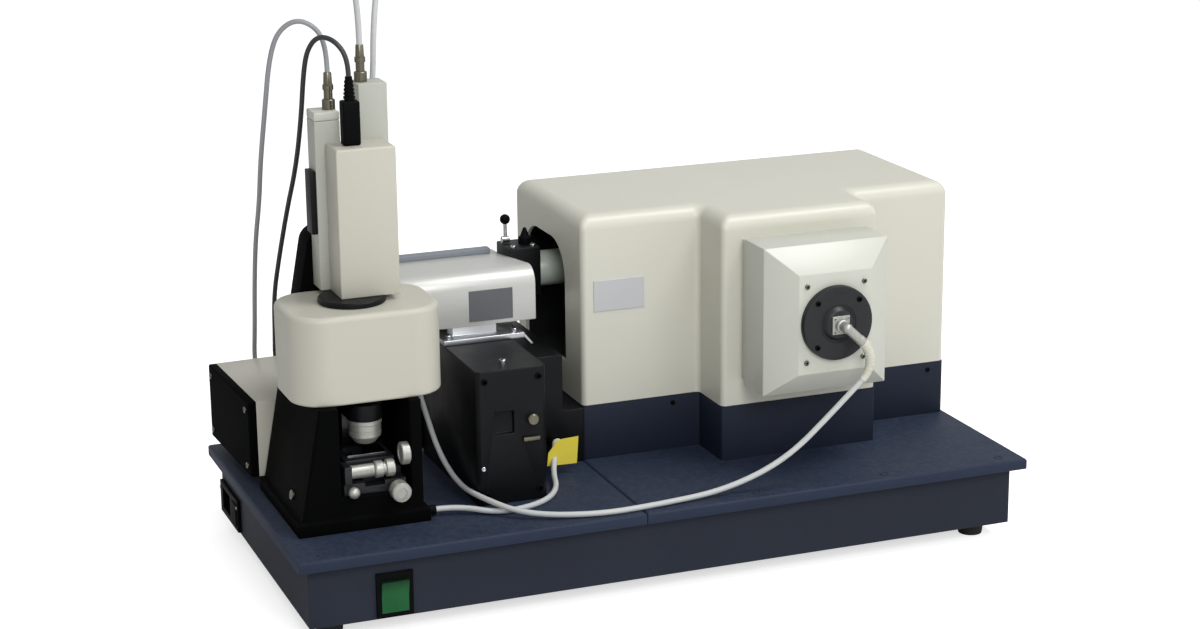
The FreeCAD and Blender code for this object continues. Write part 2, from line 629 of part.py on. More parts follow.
def optics():
    post_height = "port_z + mirror_diameter / 2 - skirt_top"
    axis = ("grating_axis_x", "grating_axis_y")
    posts = [rod("spindle", "spindle_diameter", "turret_bottom - running_gap - skirt_top",
                 axis + ("skirt_top",))]
    glasses = []
    for offset_x in ("176", "228"):
        x = "spectro_left + " + offset_x
        y = "spectro_back - 30"
        posts.append(block("mirror_post", ("mount_width", "mount_depth", post_height),
                           (x + " - mount_width / 2", y, "skirt_top")))
        glasses.append(rod("mirror_disc", "mirror_diameter", "mirror_thickness",
                           (x, y, "port_z"), "-Y"))
    posts.append(block("detector_foot",
                       ("20", "detector_depth", "port_z - detector_size / 2 - skirt_top"),
                       ("spectro_right - 70 + detector_size / 2 - 10", "spectro_front + 10",
                        "skirt_top")))
    keep(together("bench_set", posts), "optics_bench")
    keep(together("mirror_pair", glasses), "spectrograph_mirrors")
    keep(block("detector_can", ("detector_size", "detector_depth", "detector_size"),
               ("spectro_right - 70", "spectro_front + 10", "port_z - detector_size / 2")),
         "detector_head")
    table = rod("turret_table", "turret_diameter", "turret_thickness", axis + ("turret_bottom",))
    holders = []
    for quarter in range(3):
        holder = doc.addObject("Part::Box", "grating_holder")
        bind(holder, {"Length": "grating_width", "Width": "6", "Height": "grating_height"})
        angle = math.radians(120 * quarter)
        reach = 10
        holder.Placement = Placement(Vector(), Rotation(Vector(0, 0, 1), 120 * quarter))
        shift = Vector(-number("grating_width") / 2, reach, 0)
        moved = Rotation(Vector(0, 0, 1), 120 * quarter).multVec(shift)
        half = "grating_width / 2"
        place(holder, ("grating_axis_x - %.6f * %s - %.6f" % (math.cos(angle), half,
                                                             reach * math.sin(angle)),
                       "grating_axis_y - %.6f * %s + %.6f" % (math.sin(angle), half,
                                                             reach * math.cos(angle)),
                       "turret_bottom + turret_thickness"))
        holders.append(holder)
    keep(join("turret_set", [table] + holders), "grating_turret")


# Fibre port: spacer frame, faceted housing, round flange and the angled connector.
def port_housing():
    body = new_body("port_housing")
    inset = "port_spacer_inset"
    neck = sketch(body, "port_neck", "XZ_Plane", "0 - step_front")
    rectangle(neck, "port_left + " + inset, "port_bottom + " + inset,
              "port_right - " + inset, "port_top - " + inset)
    pad(body, neck, "port_spacer_depth")
    back = sketch(body, "port_back", "XZ_Plane", "0 - port_back_y")
    rectangle(back, "port_left", "port_bottom", "port_right", "port_top")
    pad(body, back, "port_box_depth")
    shoulder = sketch(body, "port_shoulder", "XZ_Plane", "0 - port_shoulder_y")
    rectangle(shoulder, "port_left", "port_bottom", "port_right", "port_top")
    face = sketch(body, "port_face", "XZ_Plane", "0 - port_face_y")
    rectangle(face, "port_left + port_side_slope", "port_bottom + port_top_slope",
              "port_right - port_side_slope", "port_top - port_top_slope")
    nose = body.newObject("PartDesign::AdditiveLoft", "port_nose")
    nose.Profile = shoulder
    nose.Sections = [face]
    nose.Ruled = True
    doc.recompute()
    hollow = sketch(body, "port_hollow", "XZ_Plane", "0 - step_front")
    rectangle(hollow, "port_left + port_wall", "port_bottom + port_wall",
              "port_right - port_wall", "port_top - port_wall")
    pocket(body, hollow, "port_spacer_depth + port_box_depth - port_wall", forward=True)
    bore = sketch(body, "port_bore", "XZ_Plane", "1 - port_face_y")
    circle(bore, "port_x", "port_z", "port_hole - 8")
    pocket(body, bore, "port_nose_depth + port_wall + 2")


def port_flange():
    disc = rod("flange_disc", "flange_diameter", "flange_thickness",
               ("port_x", "port_face_y", "port_z"), "-Y")
    hub = taper("flange_hub_cone", "flange_hub + 4", "flange_hub", "flange_hub_height",
                ("port_x", "flange_face_y", "port_z"), "-Y")
    bore = rod("flange_bore", "ferrule_diameter", "flange_thickness + flange_hub_height + 2",
               ("port_x", "port_face_y + 1", "port_z"), "-Y")
    rim = round_edges("flange_rim", disc,
                      lambda e: near(e.BoundBox.YMax, "flange_face_y")
                      and near(e.BoundBox.XLength, "flange_diameter"), "1.2")
    keep(cut("flange_ring", join("flange_solid", [rim, hub]), [bore]), "port_flange")


def tube_solid(route, radius):
    """A round bar along straight runs joined by arcs, with its volume checked."""
    edges = []
    here = route[0]
    length = 0.0
    for index in range(1, len(route) - 1):
        corner = route[index]
        towards = (route[index - 1] - corner)
        onwards = (route[index + 1] - corner)
        turn = math.pi - towards.getAngle(onwards)
        trim = 0.45 * min(towards.Length, onwards.Length)
        arc_radius = trim / math.tan(turn / 2)
        start = corner + towards.normalize() * trim
        end = corner + onwards.normalize() * trim
        centre_line = (towards + onwards).normalize()
        centre = corner + centre_line * (arc_radius / math.cos(turn / 2))
        top = centre - centre_line * arc_radius
        edges.append(Part.LineSegment(here, start).toShape())
        edges.append(Part.Arc(start, top, end).toShape())
        length += here.distanceToPoint(start) + arc_radius * turn
        here = end
    edges.append(Part.LineSegment(here, route[-1]).toShape())
    length += here.distanceToPoint(route[-1])
    path = Part.Wire(edges)
    along = (route[1] - route[0]).normalize()
    section = Part.Wire([Part.Circle(route[0], along, radius).toShape()])
    solid = path.makePipeShell([section], True, True)
    expected = math.pi * radius ** 2 * length
    if abs(solid.Volume - expected) > 0.01 * expected:
        raise ValueError("a bent bar has the wrong volume")
    return solid, length


# The angled connector leaves the port forwards, turns to the right and comes down in a bent boot.
ELBOW_START = Vector(number("port_x"), number("hub_face_y - connector_length - 3"), number("port_z"))
ELBOW_DIRECTION = Vector(0.73, -0.02, -0.68).normalize()
ELBOW_LENGTH = 16
BOOT_START = ELBOW_START + ELBOW_DIRECTION * ELBOW_LENGTH
BOOT_REACH = 20
BOOT_CORNER = BOOT_START + ELBOW_DIRECTION * BOOT_REACH
BOOT_END_DIRECTION = Vector(-0.72, 0.03, -0.69).normalize()
BOOT_END = BOOT_CORNER + BOOT_END_DIRECTION * BOOT_REACH


def port_connector():
    nut = rod("port_nut", "connector_diameter", "connector_length - 4",
              ("port_x", "hub_face_y", "port_z"), "-Y")
    barrel = rod("port_barrel", "connector_diameter - 2", "connector_length + 3",
                 ("port_x", "hub_face_y", "port_z"), "-Y")
    stem = rod("port_ferrule", "ferrule_diameter - 0.2",
               "flange_thickness + flange_hub_height", ("port_x", "port_face_y", "port_z"), "-Y")
    knee = doc.addObject("Part::Sphere", "port_knee")
    bind(knee, {"Radius": "(connector_diameter - 2) / 2"})
    place(knee, ("port_x", "hub_face_y - connector_length - 3", "port_z"))
    arm = doc.addObject("Part::Cylinder", "port_arm")
    bind(arm, {"Radius": "(connector_diameter - 2.6) / 2"})
    arm.Height = ELBOW_LENGTH
    place(arm, ("port_x", "hub_face_y - connector_length - 3", "port_z"),
          Rotation(Vector(0, 0, 1), ELBOW_DIRECTION))
    keep(join("port_elbow", [nut, barrel, stem, knee, arm]), "port_connector")


def bent_boot(node, start, corner, end, diameter, end_diameter):
    """A moulded boot that narrows along one bend, lofted through round sections."""
    towards = (start - corner)
    onwards = (end - corner)
    turn = math.pi - towards.getAngle(onwards)
    trim = min(towards.Length, onwards.Length)
    arc_radius = trim / math.tan(turn / 2)
    one = Vector(towards).normalize()
    two = Vector(onwards).normalize()
    centre = corner + (one + two).normalize() * (arc_radius / math.cos(turn / 2))
    normal = one.cross(two).normalize()
    sections = []
    steps = 8
    for step in range(steps + 1):
        share = step / steps
        spin = Rotation(normal, -math.degrees(turn) * share)
        point = centre + spin.multVec(start - centre)
        tangent = spin.multVec(one * -1)
        size = diameter + (end_diameter - diameter) * share
        sections.append(Part.Wire([Part.Circle(point, tangent, size / 2).toShape()]))
    item = doc.addObject("Part::Feature", node + "_loft")
    item.Shape = Part.makeLoft(sections, True, False)
    return keep(item, node)


# Microscope stand: casting with an open bay, tapered column, and the head on top.
def stand_casting():
    body = new_body("stand_casting")
    foot = sketch(body, "stand_foot", "XY_Plane", "plate_top")
    rectangle(foot, "stand_left", "stand_front", "stand_left + stand_width", "stand_back")
    pad(body, foot, "flange_rise")
    main = sketch(body, "stand_block", "XY_Plane", "plate_top")
    rectangle(main, "stand_left", "body_front", "body_right", "column_front + 1")
    pad(body, main, "stand_height")
    lean = sketch(body, "stand_lean", "XZ_Plane", "1 - body_front")
    outline(lean, [("stand_left - 1", "plate_top + flange_rise"),
                   ("block_left_low", "plate_top + flange_rise"),
                   ("block_left_high + stand_slope", "plate_top + stand_height + 1"),
                   ("stand_left - 1", "plate_top + stand_height + 1")])
    pocket(body, lean, "column_front + 3 - body_front")
    column = sketch(body, "stand_column", "XZ_Plane", "0 - stand_back")
    outline(column, [("stand_left + 2", "plate_top"),
                     ("stand_left + 2 + column_foot_width", "plate_top"),
                     ("stand_left + 2 + column_top_shift + column_top_width", "column_top"),
                     ("stand_left + 2 + column_top_shift", "column_top")])
    pad(body, column, "column_depth")
    fillet(body, "column_shoulders",
           lambda e: runs_along(e, "Y") and near(middle(e).z, "column_top"), "column_top_radius")
    bay = sketch(body, "stand_bay", "XY_Plane", "bay_z")
    rectangle(bay, "bay_x", "body_front - 1", "bay_right", "bay_back")
    pocket(body, bay, "stand_height", forward=True)
    fillet(body, "stand_front_edge",
           lambda e: near(e.BoundBox.YMin, "body_front") and near(e.BoundBox.YMax, "body_front")
           and near(e.BoundBox.XMin, "block_left_low")
           and near(e.BoundBox.XMax, "block_left_high"), "stand_edge_radius")


def head_housing():
    body = new_body("head_housing")
    plan = sketch(body, "head_plan", "XY_Plane", "stand_top")
    rectangle(plan, "head_left", "head_front", "head_left + head_width", "head_back")
    pad(body, plan, "head_height")
    fillet(body, "head_corners", lambda e: runs_along(e, "Z"), "head_corner_radius")
    fillet(body, "head_rims", lambda e: level(e, "head_top"), "head_edge_radius")
    fillet(body, "head_lower_rim", lambda e: level(e, "stand_top"), "head_edge_radius / 2")


def sample_stage():
    base = new_body("stage_base")
    plan = sketch(base, "stage_plan", "XY_Plane", "bay_z")
    rectangle(plan, "stage_left", "stage_front", "stage_left + stage_width",
              "stage_front + stage_depth")
    pad(base, plan, "stage_base_height")
    groove = sketch(base, "stage_groove", "XY_Plane", "stage_top - 3")
    rectangle(groove, "bay_middle - 7", "stage_front - 1", "bay_middle + 7",
              "stage_front + stage_depth + 1")
    pocket(base, groove, "4", forward=True)
    bore = sketch(base, "stage_bore", "XZ_Plane", "1 - stage_front")
    circle(bore, "y_thimble_x + 5", "y_thimble_z - 0.5", "4.2")
    pocket(base, bore, "8")
    carriage = new_body("stage_y_carriage")
    plan = sketch(carriage, "y_plan", "XY_Plane", "y_carriage_bottom")
    rectangle(plan, "stage_left + 1", "y_carriage_front", "stage_left + stage_width - 1",
              "y_carriage_front + y_carriage_depth")
    pad(carriage, plan, "carriage_height")
    rib = sketch(carriage, "y_rib", "XY_Plane", "stage_top - 3 + slide_gap")
    rectangle(rib, "bay_middle - 7 + slide_gap", "y_carriage_front", "bay_middle + 7 - slide_gap",
              "y_carriage_front + y_carriage_depth")
    pad(carriage, rib, "3")
    lug = sketch(carriage, "y_lug", "XY_Plane", "y_carriage_bottom")
    rectangle(lug, "stage_left", "sleeve_y - sleeve_diameter / 2", "sleeve_x",
              "y_carriage_front + 2")
    pad(carriage, lug, "sleeve_z + sleeve_diameter / 2 - y_carriage_bottom")
    groove = sketch(carriage, "y_groove", "XY_Plane", "y_carriage_top - 2")
    rectangle(groove, "stage_left", "y_carriage_front + y_carriage_depth / 2 - 6",
              "stage_left + stage_width", "y_carriage_front + y_carriage_depth / 2 + 6")
    pocket(carriage, groove, "3", forward=True)
    top = new_body("stage_x_carriage")
    plan = sketch(top, "x_plan", "XY_Plane", "x_carriage_bottom")
    rectangle(plan, "bay_middle - x_carriage_width / 2", "y_carriage_front + 3",
              "bay_middle + x_carriage_width / 2", "y_carriage_front + y_carriage_depth - 1")
    pad(top, plan, "carriage_height")
    rib = sketch(top, "x_rib", "XY_Plane", "y_carriage_top - 2 + slide_gap")
    rectangle(rib, "bay_middle - x_carriage_width / 2",
              "y_carriage_front + y_carriage_depth / 2 - 6 + slide_gap",
              "bay_middle + x_carriage_width / 2",
              "y_carriage_front + y_carriage_depth / 2 + 6 - slide_gap")
    pad(top, rib, "2")


def micrometers():
    keep(rod("sleeve_bar", "sleeve_diameter - 1", "sleeve_length",
             ("sleeve_x", "sleeve_y", "sleeve_z"), "X"), "x_micrometer_sleeve")
    lobes = [rod("thimble_lobe", "thimble_diameter", "thimble_length * 0.42",
                 ("thimble_x", "sleeve_y", "sleeve_z"), "X"),
             rod("thimble_waist", "thimble_diameter - 3", "thimble_length",
                 ("thimble_x", "sleeve_y", "sleeve_z"), "X"),
             rod("thimble_end", "thimble_diameter", "thimble_length * 0.42",
                 ("thimble_x + thimble_length * 0.58", "sleeve_y", "sleeve_z"), "X")]
    keep(join("thimble_x_set", lobes), "x_micrometer_thimble")
    stem = rod("y_stem", "4", "stage_front - body_front + 12",
               ("y_thimble_x + 5", "stage_front + 5.5", "y_thimble_z - 0.5"), "-Y")
    drum = rod("y_drum", "y_thimble_diameter", "y_thimble_length",
               ("y_thimble_x + 5", "body_front - 2.2", "y_thimble_z - 0.5"), "-Y")
    keep(join("thimble_y_set", [stem, drum]), "y_micrometer_thimble")
    screw = rod("lock_shaft", "3", "4", ("stage_left + 5", "stage_front", "bay_z + 4"), "-Y")
    head = ball("lock_ball", "lock_ball_diameter",
                ("stage_left + 5", "stage_front - 6.5", "bay_z + 4"))
    keep(join("lock_set", [screw, head]), "stage_lock_screw")


def focus_drive():
    keep(block("focus_way", ("focus_rail_width", "focus_rail_depth", "stand_top - bay_z - 12"),
               ("bay_middle - focus_rail_width / 2", "rail_front", "bay_z + 11")), "focus_rail")
    arm = block("nose_arm", ("nosepiece_width", "nosepiece_reach - 4", "nosepiece_height"),
                ("bay_middle - nosepiece_width / 2", "rail_front - slide_gap - nosepiece_reach + 4",
                 "nosepiece_bottom"))
    barrel = rod("nose_barrel", "objective_diameter + 2", "nosepiece_height",
                 ("bay_middle", "objective_y", "nosepiece_bottom"))
    keep(join("nosepiece_solid", [arm, barrel]), "nosepiece")
    tube = rod("objective_tube", "objective_diameter", "objective_length - 5",
               ("bay_middle", "objective_y", "nosepiece_bottom - objective_length + 5"))
    tip = taper("objective_tip", "objective_diameter - 8", "objective_diameter", "5",
                ("bay_middle", "objective_y", "nosepiece_bottom - objective_length"))
    keep(join("objective_set", [tube, tip]), "objective")
    knob = rod("focus_drum", "focus_knob_diameter", "focus_knob_length",
               ("bay_right - focus_knob_length - slide_gap", "focus_knob_y", "focus_knob_z"), "X")
    keep(knob, "focus_knob")


# Detection tower on the head with its modules, connectors and plug.
def tower():
    keep(rod("collar_ring", "collar_diameter", "collar_height",
             ("collar_centre_x", "collar_centre_y", "head_top")), "head_collar")
    body = new_body("tower_block")
    plan = sketch(body, "tower_plan", "XY_Plane", "tower_bottom")
    rectangle(plan, "tower_x", "tower_y", "tower_right", "tower_back")
    pad(body, plan, "tower_height")
    chamfer(body, "tower_rims", lambda e: level(e, "tower_top"), "tower_edge_radius / 2")
    for node, x, width, height in (
            ("left_module", "left_module_x", "left_module_width", "left_module_height"),
            ("right_module", "right_module_x", "right_module_width", "right_module_height")):
        box = block(node + "_case", (width, "module_depth", height),
                    (x, "tower_back", "tower_bottom"))
        keep(box, node)
    cap = block("cap_plate", ("left_module_width", "module_depth", "module_cap_height"),
                ("left_module_x", "tower_back", "left_module_top"))
    for node, x, foot in (("left_connector", "left_nut_x", "left_module_top + module_cap_height"),
                          ("right_connector", "right_nut_x", "right_module_top")):
        nut = rod(node + "_nut", "nut_diameter", "nut_height", (x, "module_middle_y", foot))
        stem = rod(node + "_stem", "nut_diameter - 2.4", "nut_height + nut_stem",
                   (x, "module_middle_y", foot))
        collar = rod(node + "_band", "nut_diameter - 1", "4",
                     (x, "module_middle_y", foot + " + nut_height + 6"))
        pieces = [nut, stem, collar]
        if node == "left_connector":
            pieces.append(cap)
        keep(join(node + "_set", pieces), node)
    plug = block("plug_case", ("plug_width", "plug_depth", "plug_height"),
                 ("plug_x - plug_width / 2", "plug_y - plug_depth / 2", "tower_top"))
    boot = taper("plug_relief", "plug_boot_diameter", "cable_diameter + 1.6", "plug_boot_height",
                 ("plug_x", "plug_y", "tower_top + plug_height"))
    keep(join("plug_set", [plug, boot]), "tower_plug")
    keep(block("rail_bar", ("4", "14", "43"),
               ("left_module_x - 4", "tower_back + 1", "tower_bottom + 39")), "module_rail")


# Laser side: block, bridge to the spectrograph, head on its plate and the shutter.
def laser_side():
    body = new_body("laser_block")
    plan = sketch(body, "laser_plan", "XY_Plane", "plate_top")
    rectangle(plan, "laser_x", "laser_y", "laser_right", "laser_y + laser_depth")
    pad(body, plan, "laser_height")
    chamfer(body, "laser_corners", lambda e: runs_along(e, "Z"), "laser_chamfer")
    recess = sketch(body, "laser_recess", "XZ_Plane", "1 - laser_y")
    rectangle(recess, "laser_x + 13", "plate_top + 50", "laser_x + 27", "plate_top + 66")
    pocket(body, recess, "5")
    body = new_body("bridge_block")
    side = sketch(body, "bridge_side", "XZ_Plane", "0 - bridge_y - bridge_depth")
    outline(side, [("laser_right", "plate_top"), ("spectro_left - 0.3", "plate_top"),
                   ("spectro_left - 0.3", "plate_top + bridge_low_height"),
                   ("laser_right + bridge_step", "plate_top + bridge_low_height"),
                   ("laser_right + bridge_step", "plate_top + bridge_high_height"),
                   ("laser_right", "plate_top + bridge_high_height")])
    pad(body, side, "bridge_depth")
    key = rod("key_barrel", "key_diameter", "key_length",
              ("laser_x + 40", "laser_y", "plate_top + 59"), "-Y")
    slot = block("key_bar", ("key_bar_length", "2.4", "3"),
                 ("laser_x + 33", "laser_y - 2.4", "plate_top + 43.5"))
    keep(together("front_fittings", [key, slot]), "laser_front_fittings")


def laser_head():
    plate = block("mount_sheet", ("laser_width + 9", "mount_plate_depth", "mount_plate_thickness"),
                  ("laser_x", "mount_plate_y", "laser_top"))
    risers = [block("riser_block", ("laser_width - 2 * riser_inset", "12", "riser_height"),
                    ("laser_x + riser_inset", "mount_plate_y + %s" % shift, "mount_plate_top"))
              for shift in ("riser_inset", "mount_plate_depth - riser_inset - 12")]
    keep(join("laser_mount_set", [plate] + risers), "laser_mount_plate")
    body = new_body("laser_head")
    side = sketch(body, "laser_head_side", "YZ_Plane", "laser_head_left")
    swell = "laser_head_top + laser_head_swell"
    outline(side, [("laser_head_y", "riser_top"), ("laser_head_y", swell),
                   ("laser_head_y + laser_head_brow + 2", swell),
                   ("laser_head_back - laser_head_shelf", "laser_head_top"),
                   ("laser_head_back", "laser_head_top"), ("laser_head_back", "riser_top")])
    pad(body, side, "laser_head_length")
    fillet(body, "laser_head_front_edge",
           lambda e: runs_along(e, "X") and near(middle(e).y, "laser_head_y")
           and near(middle(e).z, swell), "laser_head_brow")
    fillet(body, "laser_head_back_edges",
           lambda e: runs_along(e, "Z") and near(middle(e).y, "laser_head_back"),
           "laser_head_radius")
    rail = block("rail_strip", ("laser_head_length - 12", "8", "4"),
                 ("laser_head_left + 6", "laser_head_back - 14", "laser_head_top"))
    keep(rail, "laser_head_rail")
    case = block("shutter_case", ("shutter_length", "shutter_depth", "shutter_height"),
                 ("laser_head_right", "shutter_y", "shutter_z"))
    keep(case, "shutter_block")
    tube = rod("beam_outer", "beam_tube_diameter", "spectro_left + 14 - shutter_right",
               ("shutter_right", "beam_y", "beam_z"), "X")
    bore = rod("beam_bore", "beam_tube_bore", "spectro_left + 14 - shutter_right",
               ("shutter_right + 3", "beam_y", "beam_z"), "X")
    keep(cut("beam_sleeve", tube, [bore]), "beam_tube")
    lever_x = "laser_head_right + 4"
    lever_y = "beam_y + 6"
    hub_z = "shutter_top + lever_hub_diameter / 2 + 0.3"
    lever = [rod("lever_hub", "lever_hub_diameter", "lever_hub_length",
                 (lever_x + " - lever_hub_length / 2", lever_y, hub_z), "X"),
             rod("lever_bar", "lever_rod_diameter", "lever_length",
                 (lever_x, lever_y, hub_z + " + 0.2")),
             ball("lever_tip", "lever_ball_diameter",
                  (lever_x, lever_y, hub_z + " + 0.2 + lever_length"))]
    keep(join("lever_set", lever), "shutter_lever")
    adjuster_z = "shutter_top + 0.1"
    foot = rod("adjuster_foot", "adjuster_diameter", "adjuster_foot_height",
               ("laser_head_right + adjuster_x", "beam_y", adjuster_z))
    point = taper("adjuster_point", "adjuster_diameter", "2",
                  "adjuster_height - adjuster_foot_height",
                  ("laser_head_right + adjuster_x", "beam_y",
                   adjuster_z + " + adjuster_foot_height"))
    keep(join("adjuster_set", [foot, point]), "shutter_adjuster")


# The laser's fibre plug on the bridge: collar, pale boot and the bare tag.
PLUG_PLACE = ("laser_right + plug_collar_x", "bridge_y", "plate_top + plug_collar_rise")
PLUG_DIRECTION = Vector(-0.42, -0.78, -0.46).normalize()
PLUG_END = (Vector(*[number(text) for text in PLUG_PLACE])
            + Vector(0, -number("plug_collar_length"), 0))
LASER_BOOT_END = PLUG_END + PLUG_DIRECTION * number("laser_boot_length")
FIBRE_SOCKET_X = "stand_left + stand_width"
FIBRE_SOCKET_Y = "stand_front + socket_from_front"
FIBRE_SOCKET_Z = "plate_top + socket_rise"


def laser_plug():
    collar = rod("plug_collar", "plug_collar_diameter", "plug_collar_length", PLUG_PLACE, "-Y")
    socket = rod("fibre_port", "socket_diameter", "socket_length",
                 (FIBRE_SOCKET_X, FIBRE_SOCKET_Y, FIBRE_SOCKET_Z), "X")
    keep(together("fibre_sockets_set", [collar, socket]), "fibre_sockets")
    boot = doc.addObject("Part::Cone", "laser_boot_cone")
    bind(boot, {"Radius1": "laser_boot_diameter / 2", "Radius2": "fibre_diameter / 2 + 0.4",
                "Height": "laser_boot_length"})
    boot.Placement = Placement(PLUG_END, Rotation(Vector(0, 0, 1), PLUG_DIRECTION))
    knee = doc.addObject("Part::Sphere", "laser_boot_knee")
    bind(knee, {"Radius": "laser_boot_diameter / 2"})
    knee.Placement = Placement(PLUG_END, Rotation())
    halves = join("laser_boot_set", [boot, knee])
    keep(cut("laser_boot_trim", halves,
             [block("laser_boot_clear",
                    ("plug_collar_diameter + 2", "plug_collar_length", "plug_collar_diameter + 2"),
                    (PLUG_PLACE[0] + " - plug_collar_diameter / 2 - 1",
                     "bridge_y - plug_collar_length",
                     PLUG_PLACE[2] + " - plug_collar_diameter / 2 - 1"))]), "laser_boot")


# Control box behind the stand, turned a little on the plate.
def box_item(item):
    item.Placement = Placement(Vector(), Rotation(Vector(0, 0, 1), number("box_turn")))
    bind(item, {"Placement.Rotation.Angle": "box_turn"})
    place(item, ("box_corner_x", "box_corner_y", "plate_top"))
    return item


def control_box():
    shell = block("box_shell", ("box_width", "box_depth", "box_height"), ("0", "0", "box_feet"))
    hollow = block("box_hollow", ("box_width - 3 - box_wall", "box_depth - 2 * box_wall",
                                  "box_height - 2 * box_wall"),
                   ("3", "box_wall", "box_feet + box_wall"))
    cap = block("box_cap_block", ("box_cap", "box_depth", "box_height"),
                ("0 - box_cap", "0", "box_feet"))
    rim = round_edges("box_cap_rim", cap,
                      lambda e: near(e.BoundBox.XMax, "0 - box_cap"), "box_cap / 4")
    keep(box_item(rim), "control_box_end_panel")
    feet = [rod("box_foot", "box_foot_diameter", "box_feet",
                ("box_width / 2 + %d * (box_width / 2 - 12)" % sx,
                 "box_depth / 2 + %d * (box_depth / 2 - 12)" % sy, "0"))
            for sx in (-1, 1) for sy in (-1, 1)]
    keep(box_item(join("box_on_feet", [cut("box_case", shell, [hollow])] + feet)),
         "control_box_case")
    glands = []
    for x in GLAND_X:
        foot = rod("gland_foot", "grommet_diameter", "grommet_height",
                   (x, "box_depth + grommet_height", GLAND_Z), "-Y")
        knee = ball("gland_knee", "grommet_diameter", (x, "box_depth + grommet_height", GLAND_Z))
        neck = doc.addObject("Part::Cone", "gland_neck")
        bind(neck, {"Radius1": "grommet_diameter / 2", "Radius2": "cable_diameter / 2 + 0.6",
                    "Height": "relief_length"})
        place(neck, (x, "box_depth + grommet_height", GLAND_Z),
              Rotation(Vector(0, 0, 1), RELIEF_TILT))
        glands.append(join("gland_set", [foot, knee, neck]))
    keep(box_item(together("gland_pair", glands)), "cable_glands")


# The strain reliefs lean back and up from the control box's rear panel.
GLAND_X = ("34", "50")
GLAND_Z = "box_feet + 26"
RELIEF_TILT = Vector(0, 0.6, 0.8)


def relief_end(x, reach):
    """A point on a strain relief's axis, in the shared frame."""
    turn = Rotation(Vector(0, 0, 1), number("box_turn"))
    corner = Vector(number("box_corner_x"), number("box_corner_y"), number("plate_top"))
    foot = Vector(number(x), number("box_depth + grommet_height"), number(GLAND_Z))
    return corner + turn.multVec(foot + RELIEF_TILT * (number("relief_length") + reach))


# Cords: straight runs joined by tangent arcs.
def cord(node, points, diameter):
    route = [Vector(*point) for point in points]
    solid, length = tube_solid(route, number(diameter) / 2)
    radii = []
    for index in range(1, len(route) - 1):
        one = route[index - 1] - route[index]
        two = route[index + 1] - route[index]
        turn = math.pi - one.getAngle(two)
        radii.append(0.45 * min(one.Length, two.Length) / math.tan(turn / 2))
    print("%s length %.1f radii %.0f to %.0f" % (node, length, min(radii), max(radii)))
    item = doc.addObject("Part::Feature", node + "_tube")
    item.Shape = solid
    keep(item, node)


def cords():
    rest = number("plate_top + fibre_diameter / 2 + 0.1")
    first = BOOT_END + BOOT_END_DIRECTION * 30
    nut = Vector(number("right_nut_x"), number("module_middle_y"),
                 number("right_module_top + nut_height + nut_stem"))
    cord("collection_fibre", [
        tuple(BOOT_END), tuple(first), (82, -122, 84), (38, -118, 66.5), (-12, -123, rest),
        (-60, -126, rest), (-107, -112, 67), (-130, -84, 73.5), (-134, -50, 72),
        (-137, -16, 84), (-140, 8, 112), (-145, 20, 142), (-168, 28, 161), (-177, 30, 202),
        (-180, 27, 250), (-176, 10, 296), (-170, 5, 345), (-168, 5, 392), (-160, 14.6, 424),
        (-163, 10.5, 458), (-181.8, -11.6, 472), (-195.5, -28, 447),
        (nut.x, nut.y, nut.z + 29), tuple(nut)], "fibre_diameter")
    start = LASER_BOOT_END
    bend = start + PLUG_DIRECTION * 14
    end = tuple(number(text) for text in (FIBRE_SOCKET_X + " + socket_length", FIBRE_SOCKET_Y,
                                          FIBRE_SOCKET_Z))
    cord("laser_fibre", [
        tuple(start), tuple(bend), (-67.5, -68, rest), (-87, -90, rest), (-120, -97.5, rest),
        (end[0] + 16, end[1], end[2]), end], "fibre_diameter")
    nut = Vector(number("left_nut_x"), number("module_middle_y"),
                 number("left_module_top + module_cap_height + nut_height + nut_stem"))
    cord("module_cable", [
        tuple(nut), (nut.x, nut.y, nut.z + 14), (-211, -12, 390), (-224, -7, 397),
        (-236, 0, 388), (-241, 6, 368), (-243, 15, 334), (-242, 40, 292), (-237, 70, 258),
        (-235, 96, 224), (-232, 119, 185),
        (-229, 138, 147), tuple(relief_end(GLAND_X[0], 16)), tuple(relief_end(GLAND_X[0], 0))],
        "cable_diameter")
    boot = Vector(number("plug_x"), number("plug_y"),
                  number("tower_top + plug_height + plug_boot_height"))
    cord("tower_cable", [
        tuple(boot), (boot.x, boot.y, boot.z + 12), (-205.5, -32, 385), (-214, -22, 387),
        (-219, -12, 377),
        (-220, -3, 360), (-220, 8, 328), (-218, 36, 288), (-218, 68, 250), (-219, 94, 209),
        (-218, 119, 175),
        (-214, 139, 140), tuple(relief_end(GLAND_X[1], 16)), tuple(relief_end(GLAND_X[1], 0))],
        "cable_diameter")


top_plate("left_top_plate", "left_edge", "seam_x - plate_gap / 2")
top_plate("right_top_plate", "seam_x + plate_gap / 2", "plate_length / 2")
base_chassis()
bottom_cover()
rubber_feet()
power_rocker()
mains_inlet()
base_electronics()
spectrograph_skirt()
spectrograph_cover()
entrance_liner()
optics()
port_housing()
port_flange()
port_connector()
bent_boot("port_boot", BOOT_START, BOOT_CORNER, BOOT_END, 7.2, number("fibre_diameter") + 1.2)
stand_casting()
head_housing()
sample_stage()
micrometers()
focus_drive()
tower()
laser_side()
laser_head()
laser_plug()
control_box()
cords()
doc.recompute()

for item in doc.Objects:
    if "Invalid" in item.State or "Error" in item.State:
        raise ValueError(item.Label + " did not compute")
for node, item in KEPT.items():
    shape = item.Shape
    if shape.isNull() or not shape.isValid() or not shape.Solids:
        raise ValueError(node + " has no valid solid")
    shape.exportStep("parts/%s.step" % node)
print("%d nodes" % len(KEPT))
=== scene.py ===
# Looks for the portable Raman spectrometer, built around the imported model.
# Metres in Blender; the pieces here are drawn in millimetres and brought to metres as they are made.
import json
import math

